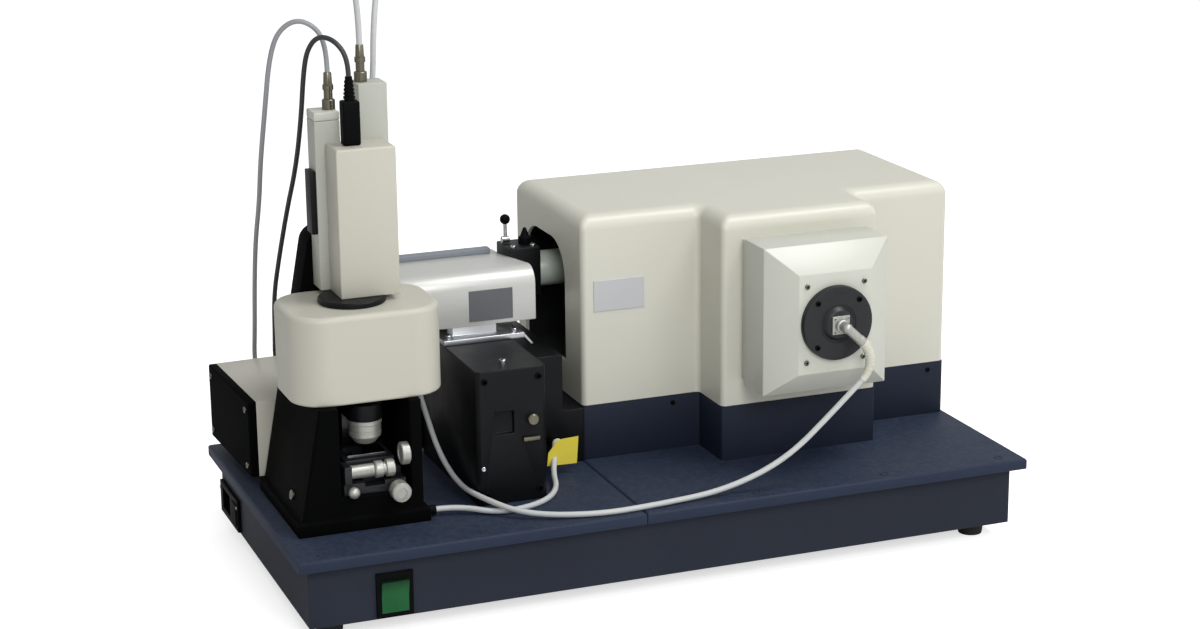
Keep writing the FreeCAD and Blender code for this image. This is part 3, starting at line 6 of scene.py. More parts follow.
import bmesh
import bpy
from mathutils import Matrix, Vector

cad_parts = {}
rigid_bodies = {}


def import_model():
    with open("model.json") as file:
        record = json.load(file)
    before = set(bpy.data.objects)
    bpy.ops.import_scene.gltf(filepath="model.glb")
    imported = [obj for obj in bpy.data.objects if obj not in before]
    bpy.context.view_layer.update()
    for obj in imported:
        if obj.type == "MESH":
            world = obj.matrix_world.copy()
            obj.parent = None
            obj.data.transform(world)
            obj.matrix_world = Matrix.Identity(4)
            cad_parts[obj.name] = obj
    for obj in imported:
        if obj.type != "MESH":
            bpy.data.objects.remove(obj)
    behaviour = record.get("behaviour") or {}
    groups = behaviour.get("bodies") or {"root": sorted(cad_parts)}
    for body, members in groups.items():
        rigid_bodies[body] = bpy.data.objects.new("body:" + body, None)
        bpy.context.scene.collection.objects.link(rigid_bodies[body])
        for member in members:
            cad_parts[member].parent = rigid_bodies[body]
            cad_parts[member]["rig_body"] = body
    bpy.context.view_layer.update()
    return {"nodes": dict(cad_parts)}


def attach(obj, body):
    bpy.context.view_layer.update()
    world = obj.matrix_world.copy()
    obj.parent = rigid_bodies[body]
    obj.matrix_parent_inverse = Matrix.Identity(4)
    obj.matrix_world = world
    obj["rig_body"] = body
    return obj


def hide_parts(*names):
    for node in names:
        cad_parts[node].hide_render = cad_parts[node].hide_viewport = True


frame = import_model()
nodes = frame["nodes"]
MM = 0.001
UP = Vector((0, 0, 1))
ALONG = Vector((1, 0, 0))
STILL = "instrument"

# Places shared with the solids, in millimetres.
PLATE_TOP = 63
CHASSIS_FRONT = -122
PORT_X = 126.6
PORT_Z = 175
PORT_FACE_Y = -107
HUB_FACE_Y = -115
LASER_FRONT_Y = -75
ROCKER_X = -203.5
ROCKER_Z = 28.6
OBJECTIVE_X = -202.5
OBJECTIVE_Y = -60
LEFT_MODULE_X = -206.6
RIGHT_MODULE_X = -183.9
MODULE_Y = -14.25
TOWER_PLUG_X = -198.7
TOWER_PLUG_Y = -38


def tone(red, green, blue):
    """A colour given as 0 to 255, as the shader wants it."""
    def straight(value):
        value = value / 255
        return value / 12.92 if value <= 0.04045 else ((value + 0.055) / 1.055) ** 2.4
    return (straight(red), straight(green), straight(blue), 1.0)


# Camera at the photograph's viewing angle.
def add_camera():
    lens = bpy.data.cameras.new("view")
    lens.lens = 74.86
    lens.sensor_width = 36
    lens.clip_end = 20
    camera = bpy.data.objects.new("view", lens)
    bpy.context.scene.collection.objects.link(camera)
    right = Vector((0.93168, -0.36314, -0.01019))
    top = Vector((0.10667, 0.24664, 0.96322))
    back = Vector((-0.34727, -0.8985, 0.26852))
    turn = Matrix((right, top, back)).transposed().to_4x4()
    camera.matrix_world = Matrix.Translation(Vector((-631.4, -1612.2, 649.7)) * MM) @ turn
    bpy.context.scene.camera = camera


add_camera()


# Shader groups shared by the finishes.
def new_group(name, inputs, outputs):
    group = bpy.data.node_groups.new(name, "ShaderNodeTree")
    for label, kind, value in inputs:
        socket = group.interface.new_socket(label, in_out="INPUT", socket_type=kind)
        socket.default_value = value
    for label, kind in outputs:
        group.interface.new_socket(label, in_out="OUTPUT", socket_type=kind)
    return group, group.nodes.new("NodeGroupInput"), group.nodes.new("NodeGroupOutput")


def noise_node(tree, scale, detail=3.0, roughness=0.5):
    node = tree.nodes.new("ShaderNodeTexNoise")
    node.inputs["Scale"].default_value = scale
    node.inputs["Detail"].default_value = detail
    node.inputs["Roughness"].default_value = roughness
    return node


def powder_group():
    """Sprayed paint: a fine pebbled height, a faint cloudiness and a little dust on top faces."""
    group, given, result = new_group(
        "sprayed paint",
        [("Colour", "NodeSocketColor", (0.5, 0.5, 0.5, 1)),
         ("Cloud Colour", "NodeSocketColor", (0.5, 0.5, 0.5, 1)),
         ("Dust Colour", "NodeSocketColor", (0.6, 0.6, 0.58, 1)),
         ("Grain Scale", "NodeSocketFloat", 1600.0), ("Relief", "NodeSocketFloat", 0.15),
         ("Dust", "NodeSocketFloat", 0.1), ("Roughness", "NodeSocketFloat", 0.5)],
        [("Colour", "NodeSocketColor"), ("Roughness", "NodeSocketFloat"),
         ("Normal", "NodeSocketVector")])
    link = group.links.new
    where = group.nodes.new("ShaderNodeTexCoord")
    grain = noise_node(group, 1600, 2.0)
    link(given.outputs["Grain Scale"], grain.inputs["Scale"])
    cloud = noise_node(group, 14, 4.0, 0.6)
    speck = noise_node(group, 260, 5.0, 0.7)
    for node in (grain, cloud, speck):
        link(where.outputs["Object"], node.inputs["Vector"])
    mixed = group.nodes.new("ShaderNodeMix")
    mixed.data_type = "RGBA"
    link(cloud.outputs["Fac"], mixed.inputs[0])
    link(given.outputs["Colour"], mixed.inputs[6])
    link(given.outputs["Cloud Colour"], mixed.inputs[7])
    facing = group.nodes.new("ShaderNodeNewGeometry")
    height = group.nodes.new("ShaderNodeSeparateXYZ")
    link(facing.outputs["Normal"], height.inputs["Vector"])
    level = group.nodes.new("ShaderNodeMapRange")
    level.inputs["From Min"].default_value = 0.55
    link(height.outputs["Z"], level.inputs["Value"])
    spots = group.nodes.new("ShaderNodeMapRange")
    spots.inputs["From Min"].default_value = 0.42
    spots.inputs["From Max"].default_value = 0.75
    link(speck.outputs["Fac"], spots.inputs["Value"])
    amount = group.nodes.new("ShaderNodeMath")
    amount.operation = "MULTIPLY"
    link(level.outputs["Result"], amount.inputs[0])
    link(spots.outputs["Result"], amount.inputs[1])
    dusted = group.nodes.new("ShaderNodeMath")
    dusted.operation = "MULTIPLY"
    link(amount.outputs[0], dusted.inputs[0])
    link(given.outputs["Dust"], dusted.inputs[1])
    dusty = group.nodes.new("ShaderNodeMix")
    dusty.data_type = "RGBA"
    link(dusted.outputs[0], dusty.inputs[0])
    link(mixed.outputs[2], dusty.inputs[6])
    link(given.outputs["Dust Colour"], dusty.inputs[7])
    link(dusty.outputs[2], result.inputs["Colour"])
    rough = group.nodes.new("ShaderNodeMath")
    rough.operation = "MULTIPLY_ADD"
    rough.inputs[1].default_value = 0.16
    link(cloud.outputs["Fac"], rough.inputs[0])
    link(given.outputs["Roughness"], rough.inputs[2])
    link(rough.outputs[0], result.inputs["Roughness"])
    bump = group.nodes.new("ShaderNodeBump")
    bump.inputs["Distance"].default_value = 0.0003
    link(given.outputs["Relief"], bump.inputs["Strength"])
    link(grain.outputs["Fac"], bump.inputs["Height"])
    link(bump.outputs["Normal"], result.inputs["Normal"])
    return group


def metal_group():
    """Machined metal: fine lines along one way, with slightly uneven gloss."""
    group, given, result = new_group(
        "machined metal",
        [("Colour", "NodeSocketColor", (0.5, 0.5, 0.5, 1)),
         ("Line Colour", "NodeSocketColor", (0.4, 0.4, 0.4, 1)),
         ("Stretch", "NodeSocketVector", (40, 900, 900)),
         ("Relief", "NodeSocketFloat", 0.1), ("Roughness", "NodeSocketFloat", 0.3)],
        [("Colour", "NodeSocketColor"), ("Roughness", "NodeSocketFloat"),
         ("Normal", "NodeSocketVector")])
    link = group.links.new
    where = group.nodes.new("ShaderNodeTexCoord")
    drawn = group.nodes.new("ShaderNodeVectorMath")
    drawn.operation = "MULTIPLY"
    link(where.outputs["Object"], drawn.inputs[0])
    link(given.outputs["Stretch"], drawn.inputs[1])
    lines = noise_node(group, 1.0, 3.0, 0.6)
    link(drawn.outputs["Vector"], lines.inputs["Vector"])
    smear = noise_node(group, 60, 3.0)
    link(where.outputs["Object"], smear.inputs["Vector"])
    mixed = group.nodes.new("ShaderNodeMix")
    mixed.data_type = "RGBA"
    link(lines.outputs["Fac"], mixed.inputs[0])
    link(given.outputs["Colour"], mixed.inputs[6])
    link(given.outputs["Line Colour"], mixed.inputs[7])
    link(mixed.outputs[2], result.inputs["Colour"])
    rough = group.nodes.new("ShaderNodeMath")
    rough.operation = "MULTIPLY_ADD"
    rough.inputs[1].default_value = 0.2
    link(smear.outputs["Fac"], rough.inputs[0])
    link(given.outputs["Roughness"], rough.inputs[2])
    link(rough.outputs[0], result.inputs["Roughness"])
    bump = group.nodes.new("ShaderNodeBump")
    bump.inputs["Distance"].default_value = 0.0001
    link(given.outputs["Relief"], bump.inputs["Strength"])
    link(lines.outputs["Fac"], bump.inputs["Height"])
    link(bump.outputs["Normal"], result.inputs["Normal"])
    return group


PAINT = powder_group()
METAL = metal_group()


def new_material(name):
    material = bpy.data.materials.new(name)
    material.use_nodes = True
    return material, material.node_tree, material.node_tree.nodes["Principled BSDF"]


def add_finish(tree, shader, kind, values):
    """Put a shared group in a material, with its own values, and feed the shader from it."""
    group = tree.nodes.new("ShaderNodeGroup")
    group.node_tree = kind
    for label, value in values.items():
        group.inputs[label].default_value = value
    tree.links.new(group.outputs["Colour"], shader.inputs["Base Color"])
    tree.links.new(group.outputs["Roughness"], shader.inputs["Roughness"])
    tree.links.new(group.outputs["Normal"], shader.inputs["Normal"])


def painted(name, colour, cloud, roughness=0.45, grain=1600.0, relief=0.15, dust=0.1,
            coat=0.0, level=0.5):
    material, tree, shader = new_material(name)
    add_finish(tree, shader, PAINT, {
        "Colour": colour, "Cloud Colour": cloud, "Dust Colour": (0.5, 0.49, 0.46, 1),
        "Grain Scale": grain, "Relief": relief, "Dust": dust, "Roughness": roughness})
    shader.inputs["Coat Weight"].default_value = coat
    shader.inputs["Coat Roughness"].default_value = 0.2
    shader.inputs["Specular IOR Level"].default_value = level
    return material


def machined(name, colour, line, roughness=0.25, stretch=(40, 900, 900), relief=0.1,
             metallic=1.0, level=0.5):
    material, tree, shader = new_material(name)
    add_finish(tree, shader, METAL, {
        "Colour": colour, "Line Colour": line, "Stretch": stretch, "Relief": relief,
        "Roughness": roughness})
    shader.inputs["Metallic"].default_value = metallic
    shader.inputs["Specular IOR Level"].default_value = level
    return material


def lit_rocker():
    """Green translucent moulding: a soft glow low down, and darker towards its top."""
    material, tree, shader = new_material("lit green rocker")
    where = tree.nodes.new("ShaderNodeTexCoord")
    glow = noise_node(tree, 90, 2.0)
    tree.links.new(where.outputs["Object"], glow.inputs["Vector"])
    height = tree.nodes.new("ShaderNodeSeparateXYZ")
    tree.links.new(where.outputs["Object"], height.inputs["Vector"])
    fade = tree.nodes.new("ShaderNodeMapRange")
    fade.inputs["From Min"].default_value = 0.040
    fade.inputs["From Max"].default_value = 0.031
    tree.links.new(height.outputs["Z"], fade.inputs["Value"])
    share = tree.nodes.new("ShaderNodeMath")
    share.operation = "MULTIPLY_ADD"
    share.inputs[1].default_value = 0.7
    tree.links.new(fade.outputs["Result"], share.inputs[0])
    softer = tree.nodes.new("ShaderNodeMath")
    softer.operation = "MULTIPLY"
    softer.inputs[1].default_value = 0.3
    tree.links.new(glow.outputs["Fac"], softer.inputs[0])
    tree.links.new(softer.outputs[0], share.inputs[2])
    ramp = tree.nodes.new("ShaderNodeValToRGB")
    ramp.color_ramp.elements[0].position = 0.1
    ramp.color_ramp.elements[0].color = tone(4, 34, 16)
    ramp.color_ramp.elements[1].position = 0.9
    ramp.color_ramp.elements[1].color = tone(16, 84, 42)
    tree.links.new(share.outputs[0], ramp.inputs["Fac"])
    tree.links.new(ramp.outputs["Color"], shader.inputs["Base Color"])
    tree.links.new(ramp.outputs["Color"], shader.inputs["Emission Color"])
    shader.inputs["Emission Strength"].default_value = 0.1
    shader.inputs["Roughness"].default_value = 0.3
    shader.inputs["Specular IOR Level"].default_value = 0.2
    shader.inputs["Coat Weight"].default_value = 0.1
    return material


plate_blue = painted("plate paint", tone(37, 47, 66), tone(32, 41, 60), 0.5, 1500, 0.3, 0.04,
                     level=0.18)
base_blue = painted("chassis paint", tone(36, 41, 53), tone(31, 36, 48), 0.5, 1500, 0.3, 0.02,
                    level=0.18)
skirt_blue = painted("skirt paint", tone(30, 36, 51), tone(26, 32, 46), 0.5, 1500, 0.3, 0.02,
                     level=0.18)
cover_cream = painted("cover paint", tone(205, 204, 192), tone(200, 199, 186), 0.36, 1300, 0.2,
                      0.05, 0.15)
port_cream = painted("port paint", tone(195, 197, 187), tone(190, 192, 181), 0.34, 1300, 0.16,
                     0.05, 0.3)
head_cream = painted("head paint", tone(190, 188, 176), tone(184, 182, 169), 0.34, 1300, 0.14,
                     0.04, 0.1, 0.3)
module_cream = painted("sensor module paint", tone(180, 181, 172), tone(172, 173, 164), 0.34,
                       1300, 0.14, 0.04, 0.1, 0.3)
cast_black = painted("black casting enamel", tone(9, 9, 10), tone(6, 7, 7), 0.5, 900,
                     0.45, 0.006, level=0.01)
black_plastic = painted("black moulded plastic", tone(11, 12, 13), tone(8, 9, 10), 0.45, 2200,
                        0.12, 0.015, level=0.04)
cap_black = painted("black end cap", tone(8, 9, 9), tone(6, 7, 7), 0.6, 2200, 0.12, 0.0,
                    level=0.01)
rubber = painted("foot rubber", tone(28, 28, 29), tone(20, 20, 21), 0.7, 1800, 0.35, 0.15)
grey_paint = painted("grey strip paint", tone(126, 132, 140), tone(118, 124, 132), 0.45)
liner_grey = painted("liner dark grey", tone(30, 31, 32), tone(24, 25, 26), 0.4, 1200, 0.1,
                     0.02, level=0.2)
tube_grey = painted("grey-green tube", tone(176, 186, 174), tone(166, 176, 164), 0.3, 1200, 0.1,
                    0.02, 0.2)
circuit_green = painted("circuit board", tone(30, 92, 58), tone(24, 78, 50), 0.35)
silver_head = machined("laser head silver", tone(204, 205, 200), tone(190, 191, 187), 0.3,
                       (30, 700, 700), metallic=0.4)
silver = machined("satin aluminium", tone(205, 207, 210), tone(180, 182, 186), 0.25)
steel = machined("turned steel", tone(196, 198, 202), tone(160, 162, 168), 0.15,
                 (500, 500, 60), 0.12)
satin = machined("satin nickel", tone(186, 186, 180), tone(158, 158, 152), 0.34,
                 (500, 500, 60), 0.12, metallic=0.6)
stage_black = machined("stage anodising", tone(40, 41, 44), tone(30, 31, 34), 0.3,
                       (60, 900, 900), metallic=0.4)
anodised = machined("black anodised", tone(17, 18, 21), tone(12, 13, 15), 0.36, (60, 900, 900),
                    metallic=0.2, level=0.2)
dark_nickel = machined("dark nickel", tone(128, 124, 110), tone(104, 100, 88), 0.22,
                       (500, 500, 60), 0.12)
glass_mirror = machined("mirror coating", tone(225, 228, 232), tone(218, 221, 226), 0.02)
fibre_white = painted("white fibre jacket", tone(192, 195, 194), tone(182, 185, 184), 0.4,
                      2600, 0.1, 0.05, 0.0, 0.3)
boot_cream = painted("boot cream", tone(206, 205, 192), tone(198, 197, 184), 0.4, 2600, 0.1,
                     0.05, 0.0, 0.3)
cable_grey = painted("grey cable jacket", tone(150, 152, 156), tone(138, 140, 144), 0.4, 2600,
                     0.1, 0.05)
cable_black = painted("black cable jacket", tone(42, 43, 46), tone(34, 35, 38), 0.4, 2600, 0.1,
                      0.05)
blank_yellow = painted("bare yellow tag", tone(222, 206, 70), tone(214, 196, 62), 0.5, 900,
                       0.12, 0.05)
blank_plate = painted("bare plate", tone(188, 190, 192), tone(180, 182, 184), 0.35, 900, 0.05)
dark_plate = painted("dark bare plate", tone(92, 94, 98), tone(84, 86, 90), 0.35, 900, 0.05)
green_light = lit_rocker()


# Mesh helpers.
def finish_piece(name, bm, material, body=STILL, stands_for=(), smooth=35):
    bmesh.ops.scale(bm, vec=(MM, MM, MM), verts=bm.verts)
    bmesh.ops.remove_doubles(bm, verts=bm.verts, dist=2e-6)
    bmesh.ops.recalc_face_normals(bm, faces=bm.faces)
    mesh = bpy.data.meshes.new(name)
    bm.to_mesh(mesh)
    bm.free()
    for face in mesh.polygons:
        face.use_smooth = True
    mesh.set_sharp_from_angle(angle=math.radians(smooth))
    mesh.materials.append(material)
    item = bpy.data.objects.new(name, mesh)
    bpy.context.scene.collection.objects.link(item)
    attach(item, body)
    if stands_for:
        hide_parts(*stands_for)
    return item


def aim(verts, bm, start, direction):
    """Bring verts drawn along +Z from the origin to start, pointing along direction."""
    turn = UP.rotation_difference(Vector(direction).normalized()).to_matrix().to_4x4()
    bmesh.ops.transform(bm, matrix=Matrix.Translation(Vector(start)) @ turn, verts=verts)


def add_block(bm, low, high, edge=0.6, segments=2):
    low, high = Vector(low), Vector(high)
    size = high - low
    made = bmesh.ops.create_cube(bm, size=1.0, matrix=Matrix.Translation((low + high) / 2)
                                 @ Matrix.Diagonal((*size, 1)))
    verts = made["verts"]
    if edge:
        edges = list({e for v in verts for e in v.link_edges})
        bmesh.ops.bevel(bm, geom=edges, offset=edge, offset_type="OFFSET", segments=segments,
                        profile=0.5, affect="EDGES", clamp_overlap=True, material=-1)
    return verts


def spin_section(bm, section, steps):
    line = [bm.verts.new((radius, 0, height)) for radius, height in section]
    edges = [bm.edges.new((one, two)) for one, two in zip(line, line[1:])]
    bmesh.ops.spin(bm, geom=line + edges, cent=(0, 0, 0), axis=(0, 0, 1),
                   angle=math.tau, steps=steps, use_merge=True, use_duplicate=False)


def add_turned(bm, section, start=(0, 0, 0), direction=UP, steps=40):
    """Spin a half section of (radius, height) points about its own axis."""
    known = set(bm.verts)
    spin_section(bm, section, steps)
    verts = [v for v in bm.verts if v not in known]
    bmesh.ops.remove_doubles(bm, verts=verts, dist=1e-4)
    verts = [v for v in bm.verts if v not in known]
    aim(verts, bm, start, direction)
    return verts


def add_grips(bm, verts, start, direction, low, high, radius, depth=0.35):
    """Inset each facet of a turned band and move it by depth, for a knurled grip."""
    axis = Vector(direction).normalized()
    origin = Vector(start)
    band = []
    for face in {f for v in verts if v.is_valid for f in v.link_faces}:
        centre = face.calc_center_median() - origin
        along = centre.dot(axis)
        across = (centre - axis * along).length
        if low < along < high and across > radius * 0.93:
            band.append(face)
    if band:
        bmesh.ops.inset_individual(bm, faces=band, thickness=depth * 0.5, depth=depth,
                                   use_even_offset=True)


def add_screw(bm, start, direction, diameter=5.0, height=3.0):
    """A socket head screw: turned head with a six-sided recess."""
    known = set(bm.verts)
    radius = diameter / 2
    socket = radius * 0.52
    chamfer = 0.35
    socket_depth = height * 0.6
    spin_section(bm, [(radius, 0), (radius, height - chamfer), (radius - chamfer, height)], 24)
    rim = [e for e in bm.edges if e.verts[0] not in known and e.is_boundary
           and min(v.co.z for v in e.verts) > height - 1e-4]
    hexagon = bmesh.ops.create_circle(bm, cap_ends=False, radius=socket, segments=6,
                                      matrix=Matrix.Translation((0, 0, height)))["verts"]
    ring = list({e for v in hexagon for e in v.link_edges})
    bmesh.ops.bridge_loops(bm, edges=rim + ring)
    sunk = bmesh.ops.extrude_edge_only(bm, edges=ring)["geom"]
    low = [g for g in sunk if isinstance(g, bmesh.types.BMVert)]
    bmesh.ops.translate(bm, verts=low, vec=(0, 0, -socket_depth))
    bmesh.ops.contextual_create(bm, geom=[g for g in sunk if isinstance(g, bmesh.types.BMEdge)])
    verts = [v for v in bm.verts if v not in known]
    aim(verts, bm, start, direction)
    return verts


def softened(node, edge, material, segments=2):
    """A CAD solid's own shape with small rounded edges, shown in the solid's place."""
    bm = bmesh.new()
    bm.from_mesh(nodes[node].data)
    bmesh.ops.scale(bm, vec=(1 / MM, 1 / MM, 1 / MM), verts=bm.verts)
    bmesh.ops.remove_doubles(bm, verts=bm.verts, dist=1e-3)
    bmesh.ops.dissolve_limit(bm, angle_limit=math.radians(0.6), verts=bm.verts,
                             edges=bm.edges, use_dissolve_boundaries=False)
    sharp = [e for e in bm.edges if len(e.link_faces) == 2
             and e.calc_face_angle(0.0) > math.radians(28)]
    bmesh.ops.bevel(bm, geom=sharp, offset=edge, offset_type="OFFSET", segments=segments,
                    profile=0.5, affect="EDGES", clamp_overlap=True, material=-1)
    return finish_piece(node + "_shown", bm, material, nodes[node]["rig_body"], (node,), 30)


def dress(material, *names):
    for name in names:
        slots = nodes[name].data.materials
        slots.clear()
        slots.append(material)


# Cords: smooth splines through the solids' own route points.
ELBOW_START = Vector((PORT_X, -126, PORT_Z))
ELBOW_DIRECTION = Vector((0.73, -0.02, -0.68)).normalized()
BOOT_START = ELBOW_START + ELBOW_DIRECTION * 16
BOOT_CORNER = BOOT_START + ELBOW_DIRECTION * 20
BOOT_END_DIRECTION = Vector((-0.72, 0.03, -0.69)).normalized()
BOOT_END = BOOT_CORNER + BOOT_END_DIRECTION * 20
PLUG_END = Vector((-50, -20, 82))
PLUG_DIRECTION = Vector((-0.42, -0.78, -0.46)).normalized()
LASER_BOOT_END = PLUG_END + PLUG_DIRECTION * 13
FIBRE_REST = 65.1
BOX_TURN = Matrix.Rotation(math.radians(2.5), 3, "Z")
BOX_CORNER = Vector((-257, 24, PLATE_TOP))
MODULE_GLAND_X = 34
TOWER_GLAND_X = 50
GLAND_Y = 108
GLAND_Z = 34
GLAND_LEAN = Vector((0, 0.6, 0.8))
GLAND_LENGTH = 9


def on_box(x, y, z):
    """A place given from the control box's own corner."""
    return BOX_CORNER + BOX_TURN @ Vector((x, y, z))


def relief_end(x, reach):
    foot = Vector((x, GLAND_Y, GLAND_Z))
    return BOX_CORNER + BOX_TURN @ (foot + GLAND_LEAN * (GLAND_LENGTH + reach))


def cord_curve(name, points, diameter, material, node):
    curve = bpy.data.curves.new(name, "CURVE")
    curve.dimensions = "3D"
    spline = curve.splines.new("NURBS")
    spline.points.add(len(points) - 1)
    for point, place in zip(spline.points, points):
        point.co = (*(Vector(place) * MM), 1.0)
    spline.order_u = 3
    spline.use_endpoint_u = True
    spline.resolution_u = 16
    curve.bevel_depth = diameter / 2 * MM
    curve.bevel_resolution = 6
    curve.use_fill_caps = True
    curve.materials.append(material)
    item = bpy.data.objects.new(name, curve)
    bpy.context.scene.collection.objects.link(item)
    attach(item, STILL)
    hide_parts(node)
    return item


collection_route = [
    tuple(BOOT_END), tuple(BOOT_END + BOOT_END_DIRECTION * 30), (82, -122, 84),
    (38, -118, 66.5), (-12, -123, FIBRE_REST), (-60, -126, FIBRE_REST), (-107, -112, 67),
    (-130, -84, 73.5), (-134, -50, 72), (-137, -16, 84), (-140, 8, 112), (-145, 20, 142),
    (-168, 28, 161), (-177, 30, 202), (-180, 27, 250), (-176, 10, 296), (-170, 5, 345),
    (-168, 5, 392), (-160, 14.6, 424), (-163, 10.5, 458), (-181.8, -11.6, 472),
    (-195.5, -28, 447), (RIGHT_MODULE_X, MODULE_Y, 407),
    (RIGHT_MODULE_X, MODULE_Y, 378)]
laser_route = [
    tuple(LASER_BOOT_END), tuple(LASER_BOOT_END + PLUG_DIRECTION * 14), (-67.5, -68, FIBRE_REST),
    (-87, -90, FIBRE_REST), (-120, -97.5, FIBRE_REST), (-145, -80.5, 68), (-161, -80.5, 68)]
module_route = [
    (LEFT_MODULE_X, MODULE_Y, 361), (LEFT_MODULE_X, MODULE_Y, 375), (-211, -12, 390),
    (-224, -7, 397),
    (-236, 0, 388), (-241, 6, 368), (-243, 15, 334), (-242, 40, 292), (-237, 70, 258),
    (-235, 96, 224), (-232, 119, 185), (-229, 138, 147),
    tuple(relief_end(MODULE_GLAND_X, 16)), tuple(relief_end(MODULE_GLAND_X, 0))]
tower_route = [
    (TOWER_PLUG_X, TOWER_PLUG_Y, 361.5), (TOWER_PLUG_X, TOWER_PLUG_Y, 373.5),
    (-205.5, -32, 385), (-214, -22, 387),
    (-219, -12, 377), (-220, -3, 360), (-220, 8, 328), (-218, 36, 288), (-218, 68, 250),
    (-219, 94, 209), (-218, 119, 175), (-214, 139, 140),
    tuple(relief_end(TOWER_GLAND_X, 16)), tuple(relief_end(TOWER_GLAND_X, 0))]
collection_cord = cord_curve("collection_fibre_jacket", collection_route, 4, fibre_white,
                             "collection_fibre")
laser_cord = cord_curve("laser_fibre_jacket", laser_route, 4, fibre_white, "laser_fibre")
module_cord = cord_curve("module_cable_jacket", module_route, 3.4, cable_grey, "module_cable")
tower_cord = cord_curve("tower_cable_jacket", tower_route, 3.4, cable_black, "tower_cable")


# Base: plates, chassis, feet, rocker and inlet.
def base_pieces():
    for node in ("left_top_plate", "right_top_plate"):
        softened(node, 0.5, plate_blue)
    softened("base_chassis", 0.5, base_blue)
    dress(base_blue, "bottom_cover")
    for sx in (-1, 1):
        for y in (-100, 104):
            bm = bmesh.new()
            add_turned(bm, [(0, 0.2), (7.6, 0.2), (8.5, 0), (8.9, 1.4), (9.6, 9), (10, 10.8),
                            (9.7, 12), (0, 12)], (sx * 243, y, 0))
            finish_piece("foot_%s_%s" % ("left" if sx < 0 else "right",
                                         "front" if y < 0 else "back"), bm, rubber, STILL,
                         ("rubber_feet",))
    bm = bmesh.new()
    for x in (-252, -140, -40, 60, 160, 252):
        for y in (-122, 122):
            add_turned(bm, [(0, -0.6), (1.6, -0.6), (2.4, 0.35), (3.2, 0.35), (3.5, 0.05),
                            (3.5, -0.3)], (x, y, PLATE_TOP), UP, 20)
    finish_piece("plate_screws", bm, base_blue, STILL)


def rocker_pieces():
    bezel = bmesh.new()
    bmesh.ops.create_grid(bezel, x_segments=1, y_segments=1, size=0.5,
                          matrix=Matrix.Translation((ROCKER_X, CHASSIS_FRONT - 2, ROCKER_Z))
                          @ Matrix.Rotation(math.radians(90), 4, "X")
                          @ Matrix.Diagonal((25.6, 31.4, 1, 1)))
    frame_face = bezel.faces[:]
    bmesh.ops.inset_region(bezel, faces=frame_face, thickness=3.0, depth=0.0)
    inner = [f for f in bezel.faces if len(f.verts) == 4
             and all(abs(v.co.x - ROCKER_X) < 10 for v in f.verts)]
    bmesh.ops.delete(bezel, geom=inner, context="FACES")
    sunk = bmesh.ops.extrude_edge_only(bezel, edges=[e for e in bezel.edges if e.is_boundary])
    back = [g for g in sunk["geom"] if isinstance(g, bmesh.types.BMVert)]
    for vert in back:
        outer = abs(vert.co.x - ROCKER_X) > 11
        vert.co.y += 2.0 if outer else 15.0
    edges = [e for e in bezel.edges if len(e.link_faces) == 2
             and e.calc_face_angle(0.0) > math.radians(40)]
    bmesh.ops.bevel(bezel, geom=edges, offset=0.7, offset_type="OFFSET", segments=3,
                    profile=0.5, affect="EDGES", clamp_overlap=True, material=-1)
    finish_piece("rocker_surround", bezel, black_plastic, STILL,
                 ("rocker_bezel",))
    softened("power_rocker", 0.7, green_light, 3)


def inlet_pieces():
    softened("mains_inlet", 0.4, black_plastic)
    bm = bmesh.new()
    for y in (69.8, 120.2):
        add_screw(bm, (-264.5, y, 33.0), (-1, 0, 0), 2.6, 0.8)
    finish_piece("inlet_screws", bm, steel, STILL)


# Spectrograph: cover, skirt, liner, optics, port with its flange and elbow.
def spectrograph_pieces():
    dress(cover_cream, "spectrograph_cover")
    softened("spectrograph_skirt", 0.5, skirt_blue)
    dress(liner_grey, "entrance_liner")
    dress(anodised, "optics_bench", "detector_head")
    dress(glass_mirror, "spectrograph_mirrors")
    dress(steel, "grating_turret")
    bm = bmesh.new()
    for x in (44, 254):
        add_screw(bm, (x, -10, 98), (0, -1, 0), 3.6, 1.0)
    for y in (8, 60, 116):
        add_screw(bm, (267, y, 98), (1, 0, 0), 3.6, 1.0)
    for x in (0, 80, 160, 240):
        add_screw(bm, (x, 129, 98), (0, 1, 0), 3.6, 1.0)
    finish_piece("skirt_screws", bm, black_plastic, STILL)
    bm = bmesh.new()
    add_block(bm, (-17, -10.5, 173), (22, -9.9, 196), 0.25, 1)
    finish_piece("front_bare_plate", bm, blank_plate, STILL)


